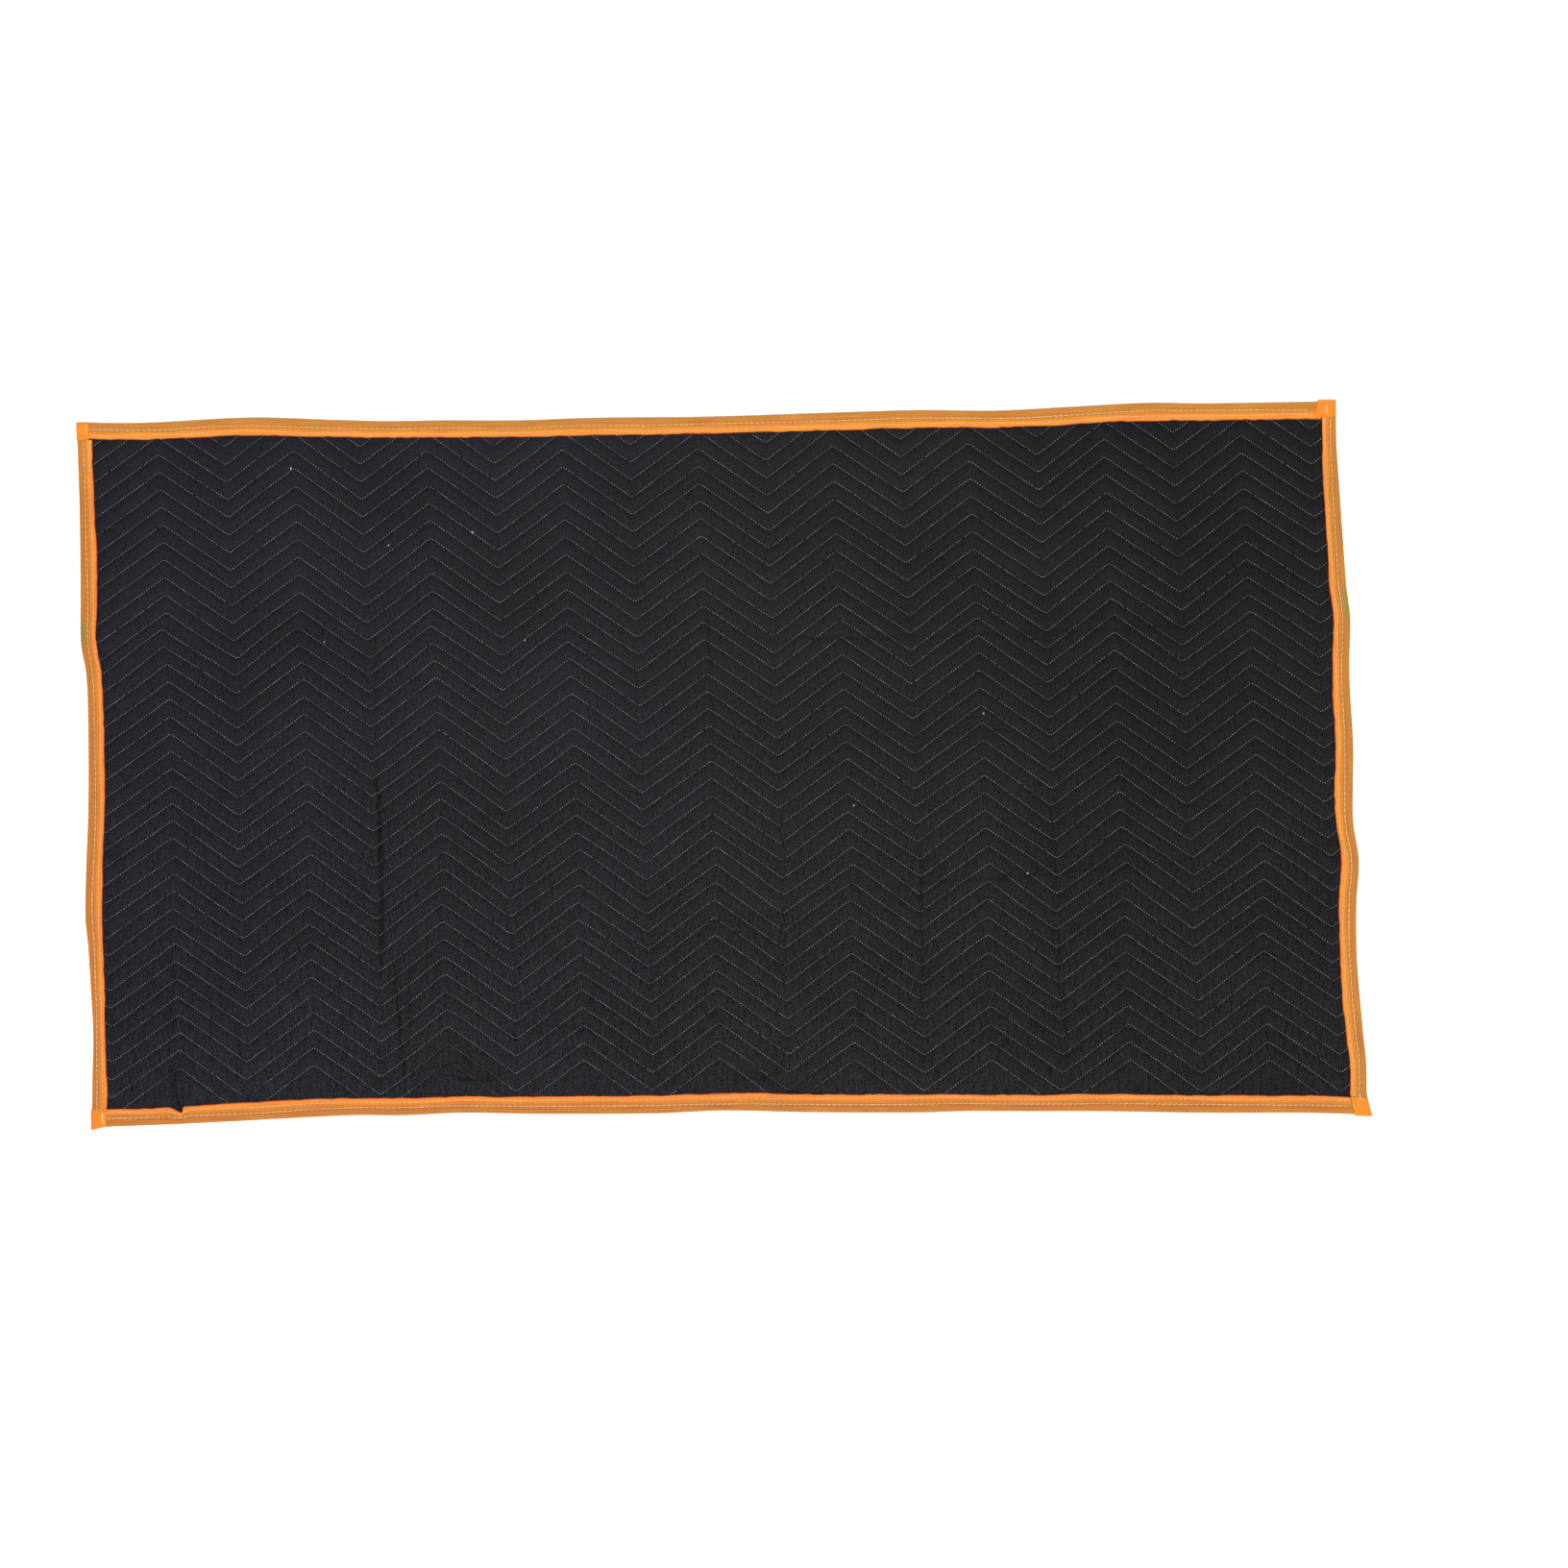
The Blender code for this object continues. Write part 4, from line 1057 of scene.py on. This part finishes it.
tape = {
    "step": 0.004,
    "tabRise": 0.00092,             # the second layer of tape at a corner
    "lipWave": (0.00060, 0.034, 0.0095),    # the lip runs in and out by this, long and short waves
    # how far the fold and the lip are drawn in from the pad's outline
    "trim": {"top": (0.0003, -0.0001), "right": (0.0002, -0.0003),
             "bottom": (0.0002, -0.0008), "left": (0.0003, -0.0007)},
    # small waves: height, metres to a wave, and how many there are across the face
    "ripple": (0.00016, 0.011, 2.5),
    "lipLift": (0.00030, 0.045),    # the inner lip stands up by this, more or less
    "twoLayers": 0.0005,            # where the tape rises by more than this it lies double
    "foldHeight": 2.4,              # millimetres: what lies higher is the upper layer
    "grooves": (0.12, 0.45, 0.75, 1.0),     # the section's grooves, between two places that stay put
    # the folded section: share of its width in from the fold, and height in millimetres
    "outside": [
        (1.000, 0.35), (0.985, 0.06), (0.960, 0.00), (0.860, 0.00), (0.780, 0.02), (0.750, 0.30),
        (0.720, 0.02), (0.600, 0.00), (0.480, 0.02), (0.450, 0.30), (0.420, 0.02), (0.280, 0.00),
        (0.140, 0.00), (0.085, 0.12), (0.040, 0.60), (0.012, 1.40), (0.000, 2.40), (0.004, 3.40),
        (0.022, 4.30), (0.055, 4.95), (0.100, 5.28), (0.160, 5.36), (0.260, 5.40), (0.360, 5.38),
        (0.420, 5.30), (0.450, 5.02), (0.480, 5.28), (0.540, 5.38), (0.620, 5.40), (0.690, 5.37),
        (0.725, 5.28), (0.750, 5.04), (0.775, 5.28), (0.820, 5.38), (0.900, 5.42), (0.960, 5.42),
        (0.988, 5.36), (1.000, 5.15), (1.002, 4.85),
    ],
    "inside": [
        (0.995, 4.55), (0.970, 4.48), (0.750, 4.46), (0.450, 4.46), (0.150, 4.46), (0.070, 4.10),
        (0.045, 3.30), (0.045, 2.20), (0.070, 1.30), (0.150, 0.95), (0.450, 0.95), (0.750, 0.95),
        (0.970, 0.90), (0.998, 0.70),
    ],
    # where the two stitch rows run, as shares of the face, evenly spaced from each tape's start
    "outerRow": {
        "top": [0.40, 0.44, 0.43, 0.47, 0.46, 0.44, 0.45, 0.42, 0.46, 0.42, 0.44, 0.46,
                0.44, 0.42, 0.49, 0.44, 0.42, 0.39, 0.44],
        "right": [0.38, 0.41, 0.45, 0.46, 0.45, 0.45, 0.47, 0.45, 0.41, 0.43, 0.42, 0.43, 0.45],
        "bottom": [0.46, 0.44, 0.38, 0.43, 0.44, 0.45, 0.41, 0.46, 0.43, 0.38, 0.44,
                   0.43, 0.48, 0.45, 0.44, 0.46, 0.49, 0.45, 0.44],
        "left": [0.41, 0.39, 0.39, 0.44, 0.43, 0.40, 0.41, 0.46, 0.41, 0.42, 0.36, 0.30, 0.33],
    },
    "innerRow": {
        "top": [0.72, 0.74, 0.73, 0.78, 0.75, 0.77, 0.74, 0.72, 0.79, 0.74, 0.73, 0.77,
                0.75, 0.73, 0.80, 0.73, 0.73, 0.69, 0.69],
        "right": [0.76, 0.78, 0.78, 0.79, 0.76, 0.74, 0.78, 0.80, 0.74, 0.76, 0.75, 0.77, 0.79],
        "bottom": [0.77, 0.76, 0.70, 0.73, 0.71, 0.78, 0.74, 0.78, 0.74, 0.68, 0.72,
                   0.75, 0.79, 0.75, 0.73, 0.78, 0.80, 0.72, 0.76],
        "left": [0.71, 0.70, 0.73, 0.78, 0.79, 0.75, 0.75, 0.79, 0.75, 0.74, 0.70, 0.70, 0.70],
    },
}

# Each side's tape, in the order in which they are made: its length and the seed of its small waves
sides = {"top": (padLength, 41), "right": (padWidth, 42), "bottom": (padLength, 43), "left": (padWidth, 44)}


def onSide(side, along, inward):
    # A place on one side's tape, as a place along and down the cloth
    return {"top": (along, inward), "right": (padLength - inward, along),
            "bottom": (along, padWidth - inward), "left": (inward, along)}[side]


def cut(along, face, reach=0.0, lean=0.0, rise=0.0):
    # One cut across a tape: its place along, its face's width, how far its fold reaches out past the
    # edge, how far its fold leans ahead of its lip, and how far its upper layer is raised
    return (along, face, reach, lean, rise)


def fillCuts(cuts):
    # Long gaps between two cuts are filled in
    cuts = np.array(cuts, float)
    filled = [cuts[:1]]
    for near, far in zip(cuts, cuts[1:]):
        count = max(1, math.ceil((far[0] - near[0]) / tape["step"] - 1e-6))
        share = (np.arange(1, count + 1) / count)[:, None]
        filled.append(near + (far - near) * share)
    return np.concatenate(filled)


def runOfCuts(side, start, end):
    along = np.arange(start + 0.003, end - 0.002, tape["step"])
    fold, lip = tape["trim"][side]
    return [cut(a, face, -fold) for a, face in zip(along, smoothCurve(side, 2, along / sides[side][0]) - lip)]


def stitchRowsAt(side, along):
    rows = []
    for name in ("outerRow", "innerRow"):
        shares = tape[name][side]
        places = (np.arange(len(shares)) + 0.5) / len(shares)
        rows.append(np.interp(along / sides[side][0], places, shares))
    return rows


def tapeLift(side, along, share):
    # Small waves of the tape's upper layer, most at its inner lip
    seed = sides[side][1]
    height, size, across = tape["ripple"]
    lipHeight, lipSize = tape["lipLift"]
    uneven = 0.6 + softNoise(along / lipSize, 0 * along, seed + 10)
    return (height * softNoise(along / size, share * across, seed)
            + lipHeight * ease((share - 0.72) / 0.28) * uneven)


def slideShare(share, outer, inner):
    # Slides a point of the section so that the section's two grooves lie on the stitch rows
    marks = tape["grooves"]
    knots = [marks[0] + 0 * outer, outer, inner, marks[-1] + 0 * outer]
    if share <= marks[0]:
        return share + 0 * outer
    k = min(int(np.searchsorted(marks, share, side="left")), 3)
    part = (share - marks[k - 1]) / (marks[k] - marks[k - 1])
    return knots[k - 1] + (knots[k] - knots[k - 1]) * part


def tapePoints(side, cuts, topReach):
    # Every cut's ring of points, and the same points in metres along and shares of the face
    along, face, reach, lean, rise = cuts.T
    outer, inner = stitchRowsAt(side, along)
    depth, size, shortSize = tape["lipWave"]
    seed = sides[side][1] + 10
    lipWave = softNoise(along / size, 0 * along, seed) + softNoise(along / shortSize, 0 * along + 7, seed)
    rings, maps = [], []
    for share, height in tape["outside"] + tape["inside"]:
        high = height > tape["foldHeight"]
        moved = slideShare(share, outer, inner)
        inward = -reach + (face + reach) * moved
        inward = inward + depth * lipWave * ease((share - 0.8) / 0.2) * (1 if high else 0.6)
        z = 0 * along + height / 1000
        leaned = along + lean * (1 - np.maximum(inward, 0.0) / face)
        if high:
            z = z + rise * min(1.0, (height - tape["foldHeight"]) / 2.0)
            z = z + tapeLift(side, along, moved) * ease((share - 0.08) / 0.1)
            leaned = leaned + topReach * ease((along - along[-1]) / tape["step"] + 1)
        rings.append(onGround(*onSide(side, leaned, inward), z))
        maps.append(np.stack([along, 0 * along + (share if high else -share)], -1))
    return np.stack(rings, 1), np.stack(maps, 1)


def makeTape(name, side, node, cuts, topReach=0.0):
    # topReach: how much further the upper layer runs than the lower one at the tape's far end
    points, mapping = tapePoints(side, cuts, topReach)
    stationCount, sectionCount = points.shape[:2]
    outsideCount = len(tape["outside"])
    doubled = cuts[:, 4] > tape["twoLayers"]
    faces, corners, faceMaterial = [], [], []

    def addFace(ring, material):
        faces.append([i * sectionCount + j for i, j in ring])
        corners.extend(mapping[i, j] for i, j in ring)
        faceMaterial.append(int(material))

    for i in range(stationCount - 1):
        for j in range(sectionCount):
            k = (j + 1) % sectionCount
            addFace([(i, j), (i, k), (i + 1, k), (i + 1, j)], doubled[i] and doubled[i + 1])
    across = (sectionCount - outsideCount - 1) / (outsideCount - 1)
    for i in (0, stationCount - 1):
        # each end is closed between the outer and the inner skin
        for j in range(outsideCount - 1):
            a, b = (sectionCount - 1 - int(round(place * across)) for place in (j, j + 1))
            ring = [j, j + 1, b] if a == b else [j, j + 1, b, a]
            addFace([(i, k) for k in ring], doubled[i])
    piece = makePiece(name, points.reshape(-1, 3), faces, [tapeMaterial, tabMaterial],
                      sharpAngle=50, corners=corners, faceMaterial=faceMaterial)
    print("%s: %d cuts of %d points" % (name, stationCount, sectionCount))
    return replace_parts(piece, node)


tapeMaterial = makeTapeMaterial("orangeTape", False)
tabMaterial = makeTapeMaterial("orangeTab", True)

# Tabs and ends, as the photo shows them; the long runs between them come from the edge tables
tab = tape["tabRise"]
topCuts = fillCuts(
    [cut(-0.0001, 0.0246, rise=tab), cut(0.0178, 0.0244, rise=tab), cut(0.0180, 0.0240), cut(0.0260, 0.0242)]
    + runOfCuts("top", 0.0300, padLength - 0.0342) + [cut(padLength - 0.0342, 0.0251, lean=0.0076)])
rightCuts = fillCuts(
    [cut(-0.0013, 0.0258, rise=tab), cut(0.0200, 0.0318, rise=tab), cut(0.0215, 0.0318, rise=tab),
     cut(0.0218, 0.0222)]
    + runOfCuts("right", 0.0270, padWidth - 0.0300)
    + [cut(padWidth - 0.0300, 0.0245), cut(padWidth - 0.0250, 0.0236, 0.0008),
       cut(padWidth - 0.0244, 0.0235, 0.0010, rise=tab), cut(padWidth + 0.0018, 0.0171, 0.0076, rise=tab)])
notch = [(0.1090, 0.0252), (0.1125, 0.0242), (0.1190, 0.0212), (0.1240, 0.0184), (0.1268, 0.0168),
         (0.1284, 0.0170), (0.1294, 0.0202), (0.1303, 0.0246), (0.1320, 0.0255)]
notchFrom, notchTo = 0.1079, 0.1350
besideNotch = [made for made in runOfCuts("bottom", 0.0240, padLength - 0.0243)
               if not notchFrom < made[0] < notchTo]
bottomCuts = fillCuts(sorted([cut(0.0210, 0.0255)] + besideNotch + [cut(*place) for place in notch]
                             + [cut(padLength - 0.0243, 0.0250, lean=0.0066)]))
leftCuts = fillCuts(
    [cut(0.0248, 0.0225)] + runOfCuts("left", 0.0265, padWidth - 0.0270)
    + [cut(padWidth - 0.0262, 0.0224), cut(padWidth - 0.0258, 0.0226, 0.0006, rise=tab),
       cut(padWidth - 0.0200, 0.0226, 0.0014, 0.0004, tab), cut(padWidth - 0.0040, 0.0218, 0.0008, 0.0040, tab),
       cut(padWidth - 0.0008, 0.0216, 0.0006, 0.0046, tab)])
tapeTop = makeTape("tapeTop", "top", "binding_top", topCuts, topReach=0.0115)
tapeRight = makeTape("tapeRight", "right", "binding_right", rightCuts)
tapeBottom = makeTape("tapeBottom", "bottom", "binding_bottom", bottomCuts)
tapeLeft = makeTape("tapeLeft", "left", "binding_left", leftCuts)


# Stitches through the tape, and the short tack at each corner's tab

tapeThread = {
    "stitch": 0.0078, "length": 0.0077, "slant": 0.00050, "wobble": 0.00025, "flatten": 0.75,
    "lengthVaries": (0.9, 1.08),
    "radiusVaries": (0.85, 1.1),
    "firstStitch": (0.002, 0.005),
    "radius": (0.00066, 0.000528),  # outer and inner row
    "share": (0.45, 0.75),          # where those rows lie in the section
    # layer, height, how far both ends dive into it, how far the middle stands out again
    "layers": [(1, 0.00530, 0.0004, 0.00035), (-1, 0.00030, 0.0004, 0.00012)],
    "flatTape": 0.0002,             # no stitch where the tape rises by more
    "rings": ((0.10, 0.7), (0.35, 1.0), (0.65, 1.0), (0.90, 0.7)),
}

tackThread = {
    "height": 0.00622, "step": 0.0008, "lean": 0.0006, "radius": 0.00050, "lift": 0.00030, "flatten": 0.8,
    "rings": ((0.2, 0.8), (0.8, 0.8)),
    # points along and down the cloth from one end to the other, half width
    "places": [
        ([(0.0142, 0.0040), (0.0138, 0.0165)], 0.0011), ([(1.7964, 0.0050), (1.7958, 0.0165)], 0.0016),
        ([(1.7992, 0.9705), (1.8002, 0.9790)], 0.0018), ([(0.0155, 0.9790), (0.0162, 0.9960)], 0.0017),
    ],
}


def tapeStitches(stream):
    made = []
    for side, cuts in (("top", topCuts), ("right", rightCuts), ("bottom", bottomCuts), ("left", leftCuts)):
        run = np.arange(cuts[0, 0] + 0.0005, cuts[-1, 0] - 0.0005, 0.0005)
        face, reach, lean, rise = (np.interp(run, cuts[:, 0], cuts[:, k]) for k in range(1, 5))
        for which, shares in enumerate(stitchRowsAt(side, run)):
            wobble = tapeThread["wobble"] * softNoise(run / 0.02, 0 * run + which, 61)
            inward = -reach + (face + reach) * shares + wobble
            first, last = stream.uniform(*tapeThread["firstStitch"]), run[-1] - run[0] - 0.002
            middles = np.arange(first, last, tapeThread["stitch"]) + run[0]
            half = tapeThread["length"] / 2 * stream.uniform(*tapeThread["lengthVaries"], len(middles))
            kept = np.interp(middles, run, rise) < tapeThread["flatTape"]
            radius = tapeThread["radius"][which] * stream.uniform(*tapeThread["radiusVaries"], len(middles))
            for layer, height, dive, stand in tapeThread["layers"]:
                ends = []
                for sign in (-1, 1):
                    at = middles + sign * half
                    lift = tapeLift(side, at, 0 * at + tapeThread["share"][which]) if layer > 0 else 0.0
                    slanted = inward + sign * tapeThread["slant"]
                    along, down = onSide(side, run + lean * (1 - slanted / face), slanted)
                    ends.append(onGround(np.interp(at, run, along), np.interp(at, run, down),
                                         height - layer * dive + lift)[kept])
                made.append((*ends, radius[kept], np.full(kept.sum(), layer * stand)))
    return [np.concatenate(group) for group in zip(*made)]


def tackStitches():
    # Slanting stitches side by side, every other one leaning the other way
    starts, ends = [], []
    for (near, far), halfWidth in tackThread["places"]:
        near, far = np.array(near), np.array(far)
        size = np.linalg.norm(far - near)
        ahead = (far - near) / size
        aside = np.array([ahead[1], -ahead[0]]) * halfWidth
        count = int(size / tackThread["step"])
        for k in range(count):
            middle = near + ahead * size * (k + 0.5) / count
            across = aside + ahead * tackThread["lean"] * (1 if k % 2 else -1)
            starts.append(onGround(*(middle - across), tackThread["height"]))
            ends.append(onGround(*(middle + across), tackThread["height"]))
    evenly = np.ones(len(starts))
    return np.array(starts), np.array(ends), tackThread["radius"] * evenly, tackThread["lift"] * evenly


def makeTapeThread(name, thread, stitches, colour):
    points, faces = spindles(*stitches, 6, thread["flatten"], thread["rings"])
    print("%s: %d stitches" % (name, len(stitches[0])))
    return makePiece(name, points, faces.tolist(), [makeThreadMaterial(colour)])


stitches = tapeStitches(np.random.RandomState(71))
tapeStitching = makeTapeThread("tapeStitching", tapeThread, stitches, "creamThread")
cornerTacks = makeTapeThread("cornerTacks", tackThread, tackStitches(), "peachThread")


# Tuck: a small fold of the cloth that pushes through a notch of the bottom tape

tuck = {
    "backDown": 0.9480, "mouthDown": 0.9748, "tipDown": 0.9842,
    "backAlong": 0.1220, "mouthLeft": 0.1110, "mouthRight": 0.1305, "tipAlong": 0.1276,
    "height": 0.0064, "backHeight": 0.0052, "base": 0.0039, "under": 0.0006,
    "backHalf": 0.0015, "tipHalf": 0.0008, "tipDrop": 0.0005,
    "pleat": (0.0005, 0.62, 0.10),  # depth, and its place and width as shares across
    "points": (15, 13),
}


def makeTuckFold(material):
    rowsDown, across = tuck["points"]
    mouth = (tuck["mouthDown"] - tuck["backDown"]) / (tuck["tipDown"] - tuck["backDown"])
    back = (tuck["backAlong"] - tuck["backHalf"], tuck["backAlong"] + tuck["backHalf"])
    tip = (tuck["tipAlong"] - tuck["tipHalf"], tuck["tipAlong"] + tuck["tipHalf"])
    pleatDepth, pleatAt, pleatWidth = tuck["pleat"]
    s = np.arange(across) / (across - 1)
    hump = np.abs(np.sin(math.pi * s ** 1.35)) ** 0.6
    hump[[0, -1]] = 0.0
    top, base = [], []
    for t in np.arange(rowsDown) / (rowsDown - 1):
        # it widens from its back to its mouth at the notch, then closes to its tip
        if t < mouth:
            share = t / mouth
            low = back[0] + (tuck["mouthLeft"] - back[0]) * share ** 1.5
            high = back[1] + (tuck["mouthRight"] - back[1]) * share ** 1.3
            tall = tuck["backHeight"] + (tuck["height"] - tuck["backHeight"]) * ease(share)
        else:
            share = (t - mouth) / (1 - mouth)
            low = tuck["mouthLeft"] + (tip[0] - tuck["mouthLeft"]) * share
            high = tuck["mouthRight"] + (tip[1] - tuck["mouthRight"]) * share
            tall = tuck["height"] - tuck["tipDrop"] * share
        pleat = pleatDepth * np.exp(-((s - pleatAt) / pleatWidth) ** 2) * (1 - 0.4 * t)
        down = tuck["backDown"] + (tuck["tipDown"] - tuck["backDown"]) * t
        top.append(onGround(low + (high - low) * s, down, tuck["base"] + (tall - tuck["base"]) * hump - pleat))
        base.append(onGround(low + (high - low) * s, down, tuck["base"] - tuck["under"]))
    count = rowsDown * across
    faces = gridFaces(rowsDown, across, 0).tolist() + gridFaces(rowsDown, across, count)[:, ::-1].tolist()
    upper, lower = rimOf(rowsDown, across, 0), rimOf(rowsDown, across, count)
    faces += np.stack([upper, lower, np.roll(lower, -1), np.roll(upper, -1)], -1).tolist()
    return makePiece("tuckFold", np.concatenate(top + base), faces, [material], sharpAngle=60)


tuckFold = makeTuckFold(clothMaterial)


# Lint: a few small white knots of fibre caught on the cloth

lint = {
    # along and down the cloth, size
    "knots": [(0.306, 0.072, 0.0030), (0.563, 0.161, 0.0034), (0.443, 0.179, 0.0020), (0.347, 0.320, 0.0018),
              (0.633, 0.317, 0.0018), (1.283, 0.432, 0.0024), (1.096, 0.561, 0.0020), (1.339, 0.660, 0.0026)],
    "fibre": 0.00030,
    "strands": 3, "points": 9, "sides": 5,
    "curl": 2.2, "waver": 0.1,      # radians from end to end, share of the size
    "lift": 0.0003, "arch": 0.0005,
}


def rowPlaceOf(along, down):
    # Which row of the quilting a place of the cloth lies on, as the rows were really sewn
    plain, rowPlace = along, (down - quilt["firstRow"]) / quilt["pitch"]
    for _ in range(5):
        madeAlong, madeDown = seamLine(plain, rowPlace)
        plain, rowPlace = plain + along - madeAlong, rowPlace + (down - madeDown) / quilt["pitch"]
    return rowPlace


def strandLine(along, down, size, stream):
    # The middle line of one curled strand, lying on the cloth
    turn, bend = stream.uniform(0, 2 * math.pi), stream.uniform(-lint["curl"], lint["curl"])
    count, path = lint["points"], []
    for s in np.arange(count) / (count - 1) - 0.5:
        angle = turn + bend * s
        path.append([place + size * s * way + stream.uniform(-lint["waver"], lint["waver"]) * size
                     for place, way in ((along, math.cos(angle)), (down, math.sin(angle)))])
    along, down = np.array(path).T
    arch = lint["arch"] * np.sin(np.linspace(0, math.pi, count)) * stream.uniform(0.3, 1.2)
    return onGround(along, down, clothTop(along, down, rowPlaceOf(along, down)) + lint["lift"] + arch)


def makeLint(material, stream):
    points, faces = [], []
    sides, count = lint["sides"], lint["points"]
    for along, down, size in lint["knots"]:
        for _ in range(lint["strands"]):
            line = strandLine(along, down, size, stream)
            first = len(points)
            for k, spot in enumerate(line):
                ahead = line[min(k + 1, count - 1)] - line[max(k - 1, 0)]
                ahead = ahead / np.linalg.norm(ahead)
                aside = np.cross(ahead, [0.0, 0.0, 1.0])
                above = np.cross(aside, ahead)
                radius = lint["fibre"] * (0.35 + math.sin(math.pi * (k + 0.6) / (count + 0.2)))
                for angle in 2 * math.pi * np.arange(sides) / sides:
                    points.append(spot + radius * (aside * math.cos(angle) + above * math.sin(angle)))
            for k in range(count - 1):
                near, far = first + k * sides, first + (k + 1) * sides
                for c in range(sides):
                    d = (c + 1) % sides
                    faces.append((near + c, near + d, far + d, far + c))
            faces.append([first + c for c in range(sides)][::-1])
            faces.append([first + (count - 1) * sides + c for c in range(sides)])
    return makePiece("lintKnots", np.array(points), faces, [material])


lintKnots = makeLint(makeThreadMaterial("whiteLint"), np.random.RandomState(81))

print("scene ready")
